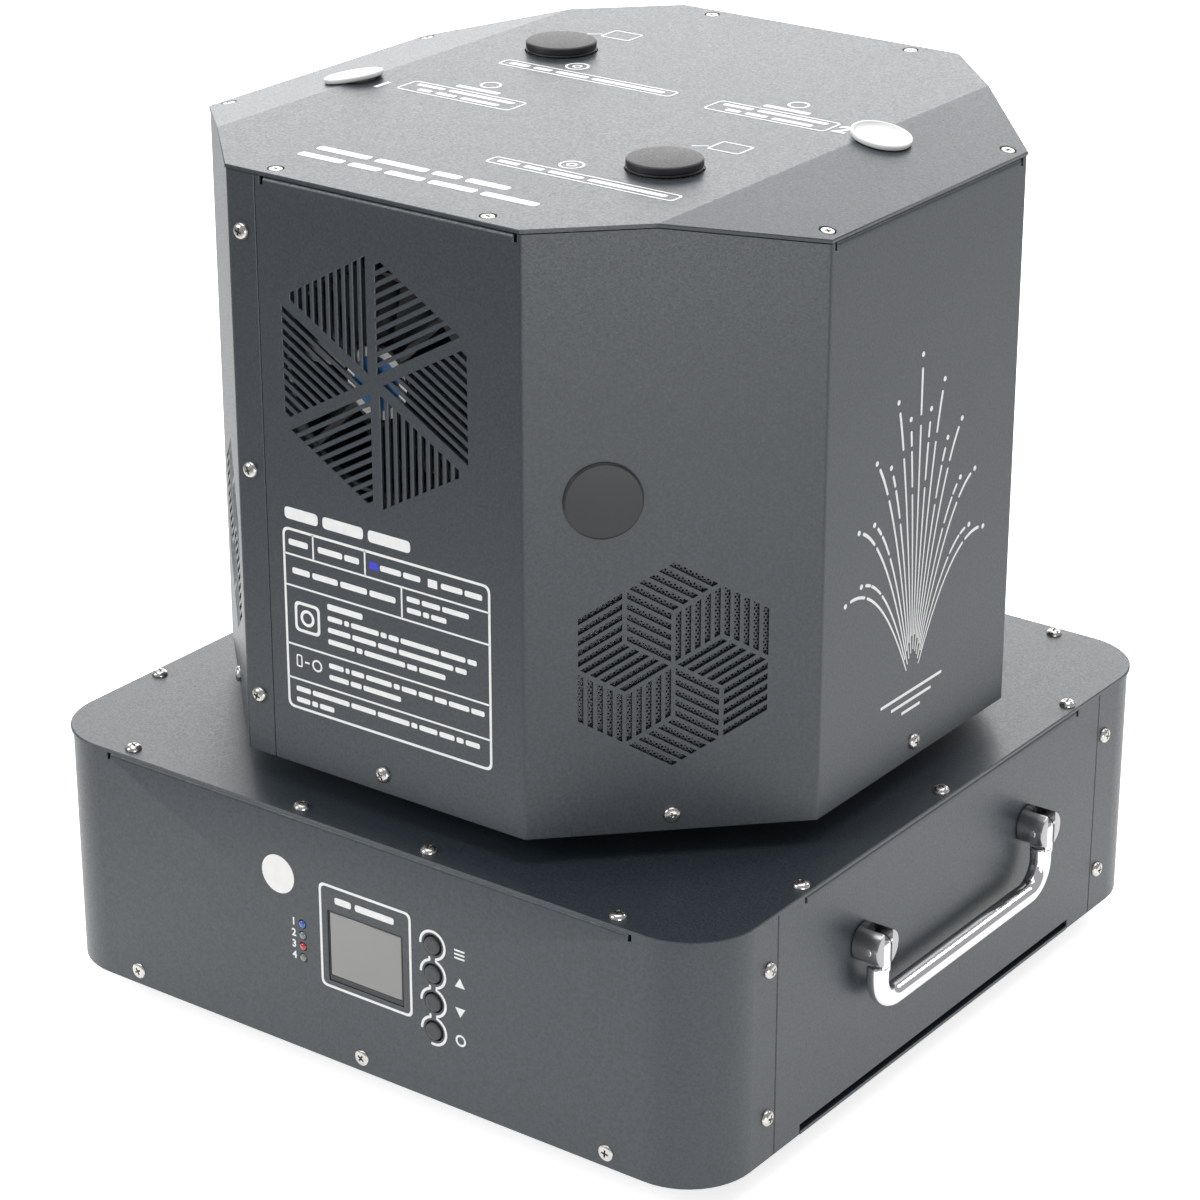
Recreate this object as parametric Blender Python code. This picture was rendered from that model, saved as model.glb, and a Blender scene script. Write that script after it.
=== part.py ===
"""Rotating spark machine for a stage: a square base and an eight-sided head that turns on it.

The base holds the display, the keys, the drive and the supply. The head holds two spark units, each with
a granule hopper, a feed screw, a heated barrel and a nozzle under a cover, and two cooling fans.
All sizes are in millimetres. The origin is on the floor under the middle of the base, +Z is up, the
display looks along -Y and the handles are on the +X and -X sides.
"""

import math

import bmesh
import bpy
import numpy as np
from mathutils import Matrix, Vector
from mathutils.geometry import delaunay_2d_cdt

MM = 0.001

# Clearances
GAP = 0.3
RUNNING_GAP = 0.4

# Base case
FOOT_HEIGHT = 12.0
FOOT_RADIUS = 14.0
FOOT_INSET = 45.0
BASE_WIDTH = 340.0
BASE_DEPTH = 340.0
BASE_HEIGHT = 108.0
BASE_SHEET = 1.5
CORNER_RADIUS = 29.5
CORNER_STEPS = 7
LID_OVERHANG = 1.0
SEAM_TO_CORNER = 46.0
SEAM_GAP = 0.4
FRONT_FOLD_INSET = 36.0
SIDE_FOLD_INSET = 64.5
FOLD_RISE = 2.0
FOLD_RELIEF = 1.5
FLANGE_DEPTH = 14.0
TONGUE_WIDTH = 12.0
PAN_RIM_HEIGHT = 12.0
PAN_SLOT_HEIGHT = 3.0

# Folding handles
HANDLE_PITCH = 127.7
HANDLE_HEIGHT = 69.0
POST_RADIUS = 8.0
POST_LENGTH = 12.5
POST_SLOT_WIDTH = 6.0
POST_SLOT_DEPTH = 9.3
PIN_RADIUS = 1.5
PIN_FROM_PANEL = 8.0
BAIL_ROD_RADIUS = 4.5
BAIL_DROP = 26.7
BAIL_BEND_RADIUS = 12.0
BAIL_TONGUE_LENGTH = 9.6
BAIL_EYE_RADIUS = 4.0

# Display and keys on the front panel
DISPLAY_X = 3.1
DISPLAY_HEIGHT = 53.1
DISPLAY_SIZE = (38.0, 31.4)
KEY_X = 38.0
KEY_HEIGHT = 51.2
KEY_PITCH = 12.85
KEY_RADIUS = 3.8
KEY_TRAVEL = 0.5
KEY_FLANGE = 1.0
KEY_STEM = 2.9
KEY_RISE = 1.0
KEY_HOLE_GAP = 0.6
KEY_NAMES = ("menu", "up", "down", "enter")
LIGHT_X = -29.6
LIGHT_HEIGHT = 50.6
LIGHT_PITCH = 5.1
LIGHT_RADIUS = 1.7
LIGHT_COUNT = 4
BOARD_SETBACK = 12.0
BOARD_THICKNESS = 1.6
BOARD_SIZE = (98.0, 60.0)
BOARD_HEIGHT = 54.0
BOARD_LEG_INSET = 4.0
BOARD_LEG_RADIUS = 2.5
KEY_SWITCH_HALF = 3.0
MODULE_MARGIN = 2.0
WINDOW_RECESS = 0.4
WINDOW_LAP = 1.0
KEY_LIP = 1.2
KEY_STEM_RADIUS = 2.5

# Rear panel
SOCKET_HEIGHT = 54.0
POWER_INLET_X = 112.0
POWER_OUTLET_X = 66.0
DMX_INPUT_X = 14.0
DMX_OUTPUT_X = -28.0
SWITCH_X = -96.0
SOCKET_RADIUS = 12.0
SOCKET_BORE_RADIUS = 8.5
SOCKET_FLANGE_RADIUS = 15.5
SOCKET_LENGTH = 26.0
SOCKET_FLANGE = 2.0
SOCKET_DEPTH = 14.0
CENTRE_POST_RADIUS = 3.5
CENTRE_POST_RECESS = 4.0
DATA_SOCKET_DEPTH = 12.0
CONTACT_CIRCLE = 4.4
CONTACT_PIN_RADIUS = 1.2
CONTACT_HOLE_RADIUS = 1.5
SWITCH_WIDTH = 20.0
ROCKER_RADIUS = 12.8
ROCKER_DEPTH = 9.0
ROCKER_TILT = 7.0
SWITCH_WALL = 2.0
SWITCH_RIM = 2.0
SWITCH_DEPTH = 22.0

# Drive in the base
SPINDLE_BORE_RADIUS = 15.0
SPINDLE_RADIUS = 37.0
COLLAR_WIDTH = 6.0
BEARING_FLANGE_WIDTH = 23.0
PULLEY_RADIUS = 50.0
PULLEY_WIDTH = 13.0
PULLEY_BOTTOM = 84.0
MOTOR_PULLEY_RADIUS = 10.0
MOTOR_X = -100.0
MOTOR_Y = -62.0
MOTOR_SIZE = 57.0
MOTOR_HEIGHT = 58.0
BELT_WIDTH = 9.0
BELT_THICKNESS = 1.6
BELT_GAP = 0.45
MOTOR_BOSS_RADIUS = 19.0
MOTOR_BOSS_HEIGHT = 1.6
MOTOR_SHAFT_RADIUS = 3.0
PULLEY_RIM = 2.0
PULLEY_RIM_HEIGHT = 1.5
BEARING_FLANGE_HEIGHT = 6.0
COLLAR_RISE = 0.8
SLIP_FOOT_RADIUS = 30.0
SLIP_FOOT_HEIGHT = 3.0
SLIP_STEM_RADIUS = 12.0
SLIP_BODY_RADIUS = 22.0
SLIP_BODY_LENGTH = 28.0
SLIP_LEAD_CLEARANCE = 6.0
SLIP_BELOW_LID = 8.0
SUPPLY_Y = 95.0
SUPPLY_SIZE = (138.0, 80.0, 42.0)
SUPPLY_X = -81.0
SUPPLY_STEP = (12.0, 20.0)

# Head case
HEAD_GAP = 11.0
HEAD_HEIGHT = 246.5
HEAD_HALF_WIDTH = 152.0
HEAD_FACE_HALF = 70.5
HEAD_SHEET = 1.5
STRIP_WIDTH = 13.8
TOP_FOLD_X = 106.5
TOP_FOLD_ANGLE = 11.5
TOP_OVERHANG = 0.5
HEAD_TAB_WIDTH = 24.0
HEAD_TAB_HEIGHT = 13.0

# Hexagonal grille on the front and rear faces of the head
GRILLE_BELOW_TOP = 74.5
GRILLE_RADIUS = 52.0
GRILLE_PITCH = 4.0
GRILLE_SLOT = 2.0
GRILLE_SPOKE = 1.9
GRILLE_SLOTS = 10

# Cooling fans behind the grilles
FAN_SIZE = 92.0
FAN_DEPTH = 25.0
FAN_BORE_RADIUS = 43.5
FAN_HUB_RADIUS = 16.0
FAN_STRUT_DEPTH = 3.5
FAN_BLADES = 7
FAN_CORNER_RADIUS = 4.0
STRUT_HALF_WIDTH = 2.0
BLADE_HALF_THICKNESS = 0.7
BLADE_CLEARANCE = 1.5
BLADE_SWEEP = (20.0, 15.0)

# Blanking plug on the front right corner face of the head
PLUG_OFFSET = -27.0
PLUG_BELOW_TOP = 107.0
PLUG_RADIUS = 16.0
PLUG_HOLE_RADIUS = 14.3

# Spark units
FILL_X = 68.0
FILL_Y = -58.0
FILL_CAP_RADIUS = 15.0
FILL_CAP_HEIGHT = 4.2
CAP_LIP = 2.5
HOPPER_RADIUS = 24.0
HOPPER_WALL = 1.5
HOPPER_SHOULDER = 12.0
HOPPER_CONE = 40.0
THROAT_HEIGHT = 12.0
CAP_SKIRT = 8.0
CAP_SEAM = 0.6
FEED_BELOW_TOP = 137.5
FEED_TUBE_RADIUS = 9.0
FEED_BORE_RADIUS = 7.0
FEED_TAIL = 20.0
SCREW_RADIUS = 6.3
SCREW_CORE_RADIUS = 2.5
SCREW_PITCH = 14.0
NOZZLE_X = 111.0
NOZZLE_Y = 27.0
NOZZLE_RADIUS = 9.0
NOZZLE_BORE_RADIUS = 6.0
NOZZLE_LENGTH = 85.0
HEATER_RADIUS = 25.0
HEATER_LENGTH = 100.0
HEATER_END = 20.0
INLET_RADIUS = 5.0
INLET_DEPTH = 8.0
COVER_RADIUS = 12.5
COVER_PLUG = 6.0
COVER_HEIGHT = 2.1
COVER_DISH = 1.5
FEED_MOTOR_RADIUS = 12.0
GEARBOX_RADIUS = 14.0
GEARBOX_LENGTH = 14.0
FEED_MOTOR_LENGTH = 42.0
SCREW_END_GAP = 3.0
SCREW_START = 12.0
STAND_SHEET = 2.0
STAND_HALF_WIDTH = 22.0

# Levels above the floor
BASE_BOTTOM = FOOT_HEIGHT
BASE_TOP = BASE_BOTTOM + BASE_HEIGHT
BASE_WALL_TOP = BASE_TOP - BASE_SHEET - GAP
PAN_TOP = BASE_BOTTOM + BASE_SHEET
HEAD_BOTTOM = BASE_TOP + HEAD_GAP
HEAD_TOP = HEAD_BOTTOM + HEAD_HEIGHT
HEAD_FLOOR_TOP = HEAD_BOTTOM + HEAD_SHEET
GRILLE_Z = HEAD_TOP - GRILLE_BELOW_TOP
FEED_Z = HEAD_TOP - FEED_BELOW_TOP
FOLD_SLOPE = math.tan(math.radians(TOP_FOLD_ANGLE))
HEAD_INSIDE = HEAD_HALF_WIDTH - HEAD_SHEET - GAP

# Radii that follow the piece they fit
COLLAR_RADIUS = SPINDLE_RADIUS + COLLAR_WIDTH
BEARING_FLANGE_RADIUS = COLLAR_RADIUS + BEARING_FLANGE_WIDTH
NECK_BORE_RADIUS = FILL_CAP_RADIUS - CAP_LIP

FINISHES = {
    "charcoal_paint": ((0.030, 0.034, 0.040), 0.45, 0.3),
    "zinc_plate": ((0.55, 0.56, 0.58), 0.35, 0.9),
    "chrome": ((0.80, 0.80, 0.82), 0.08, 1.0),
    "steel": ((0.45, 0.45, 0.47), 0.3, 1.0),
    "black_rubber": ((0.02, 0.02, 0.022), 0.8, 0.0),
    "black_plastic": ((0.015, 0.015, 0.017), 0.5, 0.0),
    "grey_plastic": ((0.09, 0.09, 0.10), 0.5, 0.0),
    "display_glass": ((0.52, 0.53, 0.47), 0.15, 0.0),
    "board_green": ((0.02, 0.16, 0.06), 0.5, 0.0),
    "aluminium": ((0.62, 0.63, 0.65), 0.35, 1.0),
    "white_silicone": ((0.86, 0.86, 0.85), 0.5, 0.0),
}


def clear_scene():
    """Removes what the scene holds, so that only the machine is left."""
    for obj in list(bpy.data.objects):
        bpy.data.objects.remove(obj, do_unlink=True)


def finish_material(finish):
    """The material of one finish, made the first time it is asked for."""
    if finish in bpy.data.materials:
        return bpy.data.materials[finish]
    colour, roughness, metallic = FINISHES[finish]
    material = bpy.data.materials.new(finish)
    material.use_nodes = True
    shader = material.node_tree.nodes["Principled BSDF"]
    shader.inputs["Base Color"].default_value = (*colour, 1.0)
    shader.inputs["Roughness"].default_value = roughness
    shader.inputs["Metallic"].default_value = metallic
    material.diffuse_color = (*colour, 1.0)
    return material


def make_solid(name, points, faces, finish, place=Matrix(), origin=(0, 0, 0), helper=False, smooth=True):
    """An object from points in millimetres. Its origin, also in millimetres, is where a piece turns."""
    mesh = bpy.data.meshes.new(name)
    start = Vector(origin)
    world = [(place @ Vector(point) - start) * MM for point in points]
    mesh.from_pydata(world, [], faces)
    mesh.materials.append(finish_material(finish))
    if smooth:
        mesh.shade_smooth()
        mesh.set_sharp_from_angle(angle=math.radians(30))
    obj = bpy.data.objects.new(name, mesh)
    obj.location = start * MM
    bpy.context.scene.collection.objects.link(obj)
    if helper:
        obj.hide_render = True
        obj.display_type = "WIRE"
    return obj


def carry_out(obj, other, operation, solver="EXACT"):
    """Adds the Boolean that joins other to the object, or cuts it away."""
    modifier = obj.modifiers.new(other.name, "BOOLEAN")
    modifier.operation = operation
    modifier.solver = solver
    modifier.object = other


def hang_on(obj, axis_empty):
    """Parents a piece to the empty on its axis, leaving it where it is."""
    obj.parent = axis_empty
    obj.location = obj.location - axis_empty.location


def face_normal(loop):
    """The outward normal of a flat loop that goes anticlockwise as seen from outside."""
    total = Vector((0, 0, 0))
    for here, there in zip(loop, loop[1:] + loop[:1]):
        total += here.cross(there)
    return total.normalized()


def mitre(normals):
    """The offset direction that keeps the same distance from every face that meets at a corner."""
    return Vector(np.linalg.lstsq(np.array(normals), np.ones(len(normals)), rcond=None)[0])


def fill_loops(loops, normal):
    """Triangles that fill a flat face with holes, anticlockwise seen from outside, as point indices."""
    across = (loops[0][1] - loops[0][0]).normalized()
    up = normal.cross(across)
    flat, rings = [], []
    for loop in loops:
        ring = list(range(len(flat), len(flat) + len(loop)))
        rings.append(ring if face_normal(loop).dot(normal) > 0 else ring[::-1])
        flat += [Vector((point.dot(across), point.dot(up))) for point in loop]
    inside = 1
    _, _, triangles, sources, _, owners = delaunay_2d_cdt(flat, [], rings, inside, 1e-5)
    return [tuple(sources[corner][0] for corner in triangle)
            for triangle, owner in zip(triangles, owners) if owner == [0]]


def sheet_solid(name, faces, thickness, finish, place=Matrix(), helper=False):
    """A folded sheet from its outer faces, each a list of loops: the outline, then any holes.

    Faces that share a bend line share its two corners. The inner side is offset by the thickness with
    mitred bends, and every free edge, also round a hole, is closed by a strip.
    """
    points, normals, index_of = [], [], {}
    loops_of_faces = []
    for loops in faces:
        loops = [[Vector(point) for point in loop] for loop in loops]
        normal = face_normal(loops[0])
        indices = []
        for point in [point for loop in loops for point in loop]:
            key = tuple(round(value, 3) for value in point)
            if key not in index_of:
                index_of[key] = len(points)
                points.append(point)
                normals.append([])
            index = index_of[key]
            if all((normal - known).length > 1e-4 for known in normals[index]):
                normals[index].append(normal)
            indices.append(index)
        loops_of_faces.append((loops, normal, indices))
    count = len(points)
    inner = [point - mitre(around) * thickness for point, around in zip(points, normals)]
    triangles = []
    for loops, normal, indices in loops_of_faces:
        triangles += [tuple(indices[corner] for corner in triangle) for triangle in fill_loops(loops, normal)]
    edges = {(t[i], t[(i + 1) % 3]) for t in triangles for i in range(3)}
    strips = [(b, a, a + count, b + count) for a, b in sorted(edges) if (b, a) not in edges]
    under = [(c + count, b + count, a + count) for a, b, c in triangles]
    return make_solid(name, points + inner, triangles + under + strips, finish, place,
                      helper=helper, smooth=False)


def turned_solid(name, profile, finish, place=Matrix(), segments=20, origin=(0, 0, 0), helper=False):
    """A round solid about the local Z axis, from (radius, height) points.

    The profile goes anticlockwise in the plane of radius and height. It is a closed loop round a bore,
    or starts and ends on the axis.
    """
    on_axis = profile[0][0] == 0
    points, rings = [], []
    for radius, height in profile:
        if radius == 0:
            rings.append([len(points)] * segments)
            points.append((0, 0, height))
            continue
        rings.append([len(points) + step for step in range(segments)])
        for step in range(segments):
            angle = 2 * math.pi * step / segments
            points.append((radius * math.cos(angle), radius * math.sin(angle), height))
    pairs = list(zip(rings, rings[1:]))
    if not on_axis:
        pairs.append((rings[-1], rings[0]))
    faces = []
    for lower, upper in pairs:
        for step in range(segments):
            after = (step + 1) % segments
            corners = (lower[step], lower[after], upper[after], upper[step])
            unique = list(dict.fromkeys(corners))
            if len(unique) > 2:
                faces.append(unique)
    return make_solid(name, points, faces, finish, place, origin=origin, helper=helper)


def rod_solid(name, radius, low, high, finish, place, segments):
    """A plain round helper about the local Z axis, to join to a piece or to cut from it."""
    profile = [(0, low), (radius, low), (radius, high), (0, high)]
    return turned_solid(name, profile, finish, place, segments, helper=True)


def prism_solid(name, outline, low, high, finish, place=Matrix(), origin=(0, 0, 0), helper=False):
    """A straight prism along the local Z axis on an anticlockwise outline."""
    count = len(outline)
    points = [(x, y, low) for x, y in outline] + [(x, y, high) for x, y in outline]
    faces = [tuple(reversed(range(count))), tuple(range(count, 2 * count))]
    for here in range(count):
        there = (here + 1) % count
        faces.append((here, there, there + count, here + count))
    return make_solid(name, points, faces, finish, place, origin=origin, helper=helper)


def box_parts(boxes):
    """Points and faces of several boxes, each given by its low and high corners."""
    points, faces = [], []
    for low, high in boxes:
        start = len(points)
        for z in (low[2], high[2]):
            points += [(low[0], low[1], z), (high[0], low[1], z), (high[0], high[1], z), (low[0], high[1], z)]
        quads = ((3, 2, 1, 0), (4, 5, 6, 7), (0, 1, 5, 4), (1, 2, 6, 5), (2, 3, 7, 6), (3, 0, 4, 7))
        faces += [tuple(start + corner for corner in quad) for quad in quads]
    return points, faces


def box_solid(name, boxes, finish, place=Matrix(), helper=False):
    """One or more separate boxes as one object."""
    points, faces = box_parts(boxes)
    return make_solid(name, points, faces, finish, place, helper=helper, smooth=False)


def merge_helpers(name, objects):
    """Joins helper objects that don't touch each other into one, so that one Boolean takes them all."""
    mesh = bmesh.new()
    for obj in objects:
        start = len(mesh.verts)
        mesh.from_mesh(obj.data)
        mesh.verts.ensure_lookup_table()
        for vertex in mesh.verts[start:]:
            vertex.co = obj.location + vertex.co
        bpy.data.objects.remove(obj, do_unlink=True)
    data = bpy.data.meshes.new(name)
    mesh.to_mesh(data)
    mesh.free()
    helper = bpy.data.objects.new(name, data)
    helper.hide_render = True
    helper.display_type = "WIRE"
    bpy.context.scene.collection.objects.link(helper)
    return helper


def circle(x, y, radius, segments):
    """An anticlockwise circle of points."""
    angles = [2 * math.pi * step / segments for step in range(segments)]
    return [(x + radius * math.cos(angle), y + radius * math.sin(angle)) for angle in angles]


def arc(x, y, radius, start, end, steps):
    """Points on an arc, its angles in degrees."""
    angles = [math.radians(start + (end - start) * step / steps) for step in range(steps + 1)]
    return [(x + radius * math.cos(angle), y + radius * math.sin(angle)) for angle in angles]


def rounded_rectangle(half_x, half_y, radius, steps):
    """An anticlockwise rounded rectangle about the origin."""
    outline = []
    for x, y, start in ((1, -1, -90), (1, 1, 0), (-1, 1, 90), (-1, -1, 180)):
        outline += arc(x * (half_x - radius), y * (half_y - radius), radius, start, start + 90, steps)
    return outline


def rectangle(x, y, width, height):
    """An anticlockwise rectangle about (x, y)."""
    return [(x + sx * width / 2, y + sy * height / 2) for sx, sy in ((-1, -1), (1, -1), (1, 1), (-1, 1))]


def axis_frame(position, direction, up=(0, 0, 1)):
    """A frame at position whose local Z axis points along direction."""
    z = Vector(direction).normalized()
    x = Vector(up).cross(z)
    if x.length < 1e-6:
        x = Vector((1, 0, 0))
    x.normalize()
    y = z.cross(x)
    return Matrix.Translation(position) @ Matrix((x, y, z)).transposed().to_4x4()


def half_turn(turned):
    """Nothing, or the half turn about the head's axis that carries one side's pieces to the other side."""
    return Matrix.Rotation(math.pi, 4, "Z") if turned else Matrix()


class WallFace:
    """An upright flat face between two plan points, the outside on the right on the way from a to b."""

    def __init__(self, a, b):
        self.a = Vector((*a, 0))
        self.along = Vector((*b, 0)) - self.a
        self.width = self.along.length
        self.along.normalize()
        self.inward = Vector((-self.along.y, self.along.x, 0))

    def point(self, u, z, inward=0.0):
        """The 3-D point at distance u along the face, height z and a depth inward."""
        return self.a + self.along * u + self.inward * inward + Vector((0, 0, z))

    def loop(self, outline):
        return [self.point(u, z) for u, z in outline]

    def plain(self, bottom, top_a, top_b=None):
        """The whole face as a loop, its top edge sloping if top_b is given."""
        top_b = top_a if top_b is None else top_b
        return self.loop([(0, bottom), (self.width, bottom), (self.width, top_b), (0, top_a)])


def folded_top(wall, bottom_edge, top, start, end, slope=0.0):
    """The loops of a wall whose top edge folds inward to a screw flange between start and end.

    The wall stops short of the top there, and a narrow sloping face and a flat flange follow it.
    """
    fold = top - FOLD_RISE
    notch = fold - FOLD_RELIEF
    first, last = start + FOLD_RELIEF, end - FOLD_RELIEF
    outline = bottom_edge + [
        (wall.width, top), (end, top), (end, notch), (last, notch), (last, fold),
        (first, fold), (first, notch), (start, notch), (start, top), (0, top),
    ]
    bend_top = top + slope * FOLD_RISE
    edge_top = top + slope * FLANGE_DEPTH
    bend = [wall.point(first, fold), wall.point(last, fold),
            wall.point(last, bend_top, FOLD_RISE), wall.point(first, bend_top, FOLD_RISE)]
    flange = [wall.point(first, bend_top, FOLD_RISE), wall.point(last, bend_top, FOLD_RISE),
              wall.point(last, edge_top, FLANGE_DEPTH), wall.point(first, edge_top, FLANGE_DEPTH)]
    return wall.loop(outline), [bend], [flange]


def base_corner_path(side):
    """The plan path of the front (side -1) or rear (side 1) shell, anticlockwise seen from above."""
    half_x, half_y = BASE_WIDTH / 2, BASE_DEPTH / 2
    seam_y = half_y - SEAM_TO_CORNER
    path = [(-half_x, -seam_y)]
    path += arc(-half_x + CORNER_RADIUS, -half_y + CORNER_RADIUS, CORNER_RADIUS, 180, 270, CORNER_STEPS)
    path += arc(half_x - CORNER_RADIUS, -half_y + CORNER_RADIUS, CORNER_RADIUS, 270, 360, CORNER_STEPS)
    path += [(half_x, -seam_y)]
    if side > 0:
        path = [(-x, -y) for x, y in path]
    return path


def base_shell(name, side, holes):
    """A three-sided shell with round corners. holes are in (x, height above the floor)."""
    path = base_corner_path(side)
    faces = []
    for a, b in zip(path, path[1:]):
        wall = WallFace(a, b)
        if wall.width < BASE_WIDTH / 2:
            faces.append([wall.plain(BASE_BOTTOM, BASE_WALL_TOP)])
            continue
        inset = FRONT_FOLD_INSET - CORNER_RADIUS
        edge = [(0, BASE_BOTTOM), (wall.width, BASE_BOTTOM)]
        outline, bend, flange = folded_top(wall, edge, BASE_WALL_TOP, inset, wall.width - inset)
        local = [[(-side * x + wall.width / 2, z) for x, z in hole] for hole in holes]
        faces += [[outline] + [wall.loop(hole) for hole in local], bend, flange]
    return sheet_solid(name, faces, BASE_SHEET, "charcoal_paint")


def make_base_pan():
    """The bottom plate: it lies inside the shells, and its side lips show in the side panels' slots."""
    half_x = BASE_WIDTH / 2 - BASE_SHEET - GAP
    half_y = BASE_DEPTH / 2 - BASE_SHEET - GAP
    radius = CORNER_RADIUS - BASE_SHEET - GAP
    lip_half = BASE_DEPTH / 2 - SIDE_FOLD_INSET - GAP
    rim_half = half_x - radius - GAP
    outline = rounded_rectangle(half_x, half_y, radius, CORNER_STEPS)
    corner = CORNER_STEPS + 1
    lip_x = BASE_WIDTH / 2
    right_lip = [(half_x, -lip_half), (lip_x, -lip_half), (lip_x, lip_half), (half_x, lip_half)]
    left_lip = [(-x, -y) for x, y in right_lip]
    rear_rim = [(rim_half, half_y), (-rim_half, half_y)]
    front_rim = [(-rim_half, -half_y), (rim_half, -half_y)]
    plan = (outline[:corner] + right_lip + outline[corner:2 * corner] + rear_rim
            + outline[2 * corner:3 * corner] + left_lip + outline[3 * corner:] + front_rim)
    floor = [(x, y, BASE_BOTTOM) for x, y in reversed(plan)]
    faces = [[floor]]
    for rim in (front_rim, rear_rim):
        wall = WallFace(*rim)
        top = BASE_BOTTOM + PAN_RIM_HEIGHT
        faces.append([wall.loop([(0, BASE_BOTTOM), (wall.width, BASE_BOTTOM), (wall.width - FOLD_RELIEF, top),
                                 (FOLD_RELIEF, top)])])
    sheet_solid("base_bottom_plate", faces, BASE_SHEET, "charcoal_paint")


def make_base_lid():
    half_x, half_y = BASE_WIDTH / 2 + LID_OVERHANG, BASE_DEPTH / 2 + LID_OVERHANG
    outline = rounded_rectangle(half_x, half_y, CORNER_RADIUS + LID_OVERHANG, CORNER_STEPS)
    hole = circle(0, 0, COLLAR_RADIUS + RUNNING_GAP, 32)
    faces = [[[(x, y, BASE_TOP) for x, y in outline], [(x, y, BASE_TOP) for x, y in hole]]]
    sheet_solid("base_lid", faces, BASE_SHEET, "charcoal_paint")


def seam_tongue(name, wall, end, reach, bottom, top, sheet, into, place=Matrix()):
    """The joggled strip behind a seam, joined to the wall's edge at u = end and reaching past it.

    reach is how far it goes beyond the edge, with its sign, and into how far it laps the wall.
    """
    back = 2 * sheet + GAP
    low_u, high_u = sorted((end + reach, end - math.copysign(into, reach)))
    step_u = end - math.copysign(GAP, reach)
    inner = [(low_u, back), (low_u, sheet + GAP), (step_u, sheet + GAP), (step_u, sheet / 2),
             (high_u, sheet / 2), (high_u, back)]
    if reach > 0:
        inner = [(low_u, back), (low_u, sheet / 2), (step_u, sheet / 2), (step_u, sheet + GAP),
                 (high_u, sheet + GAP), (high_u, back)]
    outline = [wall.point(u, 0, depth).to_2d() for u, depth in reversed(inner)]
    area = sum(p.x * q.y - q.x * p.y for p, q in zip(outline, outline[1:] + outline[:1]))
    if area < 0:
        outline.reverse()
    return prism_solid(name, outline, bottom, top, "charcoal_paint", place, helper=True)


def make_side_panels():
    """The flat side panels between the shells, with a slot over the bottom plate's lip."""
    half_x = BASE_WIDTH / 2
    seam_y = BASE_DEPTH / 2 - SEAM_TO_CORNER - SEAM_GAP
    for label, side in (("right", 1), ("left", -1)):
        wall = WallFace((side * half_x, -side * seam_y), (side * half_x, side * seam_y))
        inset = SIDE_FOLD_INSET - SEAM_TO_CORNER - SEAM_GAP
        slot_top = PAN_TOP + PAN_SLOT_HEIGHT
        edge = [(0, BASE_BOTTOM), (inset, BASE_BOTTOM), (inset, slot_top), (wall.width - inset, slot_top),
                (wall.width - inset, BASE_BOTTOM), (wall.width, BASE_BOTTOM)]
        outline, bend, flange = folded_top(wall, edge, BASE_WALL_TOP, inset, wall.width - inset)
        name = "base_side_panel_" + label
        panel = sheet_solid(name, [[outline], bend, flange], BASE_SHEET, "charcoal_paint")
        low, high = PAN_TOP + PAN_RIM_HEIGHT, BASE_WALL_TOP - FLANGE_DEPTH
        for end, reach in ((0, -TONGUE_WIDTH), (wall.width, TONGUE_WIDTH)):
            tongue = seam_tongue(name + "_tongue", wall, end, reach, low, high, BASE_SHEET, 8.0)
            carry_out(panel, tongue, "UNION")


def make_feet():
    x = BASE_WIDTH / 2 - FOOT_INSET
    y = BASE_DEPTH / 2 - FOOT_INSET
    profile = [(0, 0), (FOOT_RADIUS - 2, 0), (FOOT_RADIUS, 2), (FOOT_RADIUS - 1, FOOT_HEIGHT - GAP),
               (0, FOOT_HEIGHT - GAP)]
    for end, sy in (("front", -1), ("rear", 1)):
        for label, sx in (("right", 1), ("left", -1)):
            place = Matrix.Translation((sx * x, sy * y, 0))
            turned_solid(f"rubber_foot_{end}_{label}", profile, "black_rubber", place, 14)


def bail_path():
    """The rod's centre line in (along the handle, below the pin), from one arm to the other."""
    half = HANDLE_PITCH / 2
    corner_x, corner_z = half - BAIL_BEND_RADIUS, -BAIL_DROP + BAIL_BEND_RADIUS
    left = arc(-corner_x, corner_z, BAIL_BEND_RADIUS, 180, 270, 4)
    right = arc(corner_x, corner_z, BAIL_BEND_RADIUS, 270, 360, 4)
    return [(-half, -BAIL_TONGUE_LENGTH)] + left + right + [(half, -BAIL_TONGUE_LENGTH)]


def rod_along(path, radius, sides):
    """Points and faces of a round rod along a path in the local YZ plane."""
    points, faces = [], []
    for step, (y, z) in enumerate(path):
        before, after = path[max(step - 1, 0)], path[min(step + 1, len(path) - 1)]
        tangent = Vector((0, after[0] - before[0], after[1] - before[1])).normalized()
        if step in (0, len(path) - 1):
            tangent = Vector((0, 0, -1 if step == 0 else 1))
        across = tangent.cross(Vector((1, 0, 0)))
        for side in range(sides):
            angle = 2 * math.pi * side / sides
            offset = Vector((1, 0, 0)) * math.cos(angle) + across * math.sin(angle)
            points.append(Vector((0, y, z)) + offset * radius)
    last = len(path) - 1
    for step in range(last):
        for side in range(sides):
            a = step * sides + side
            b = step * sides + (side + 1) % sides
            faces.append((a, a + sides, b + sides, b))
    faces.append(tuple(range(sides)))
    faces.append(tuple(reversed(range(last * sides, (last + 1) * sides))))
    return points, faces


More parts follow.
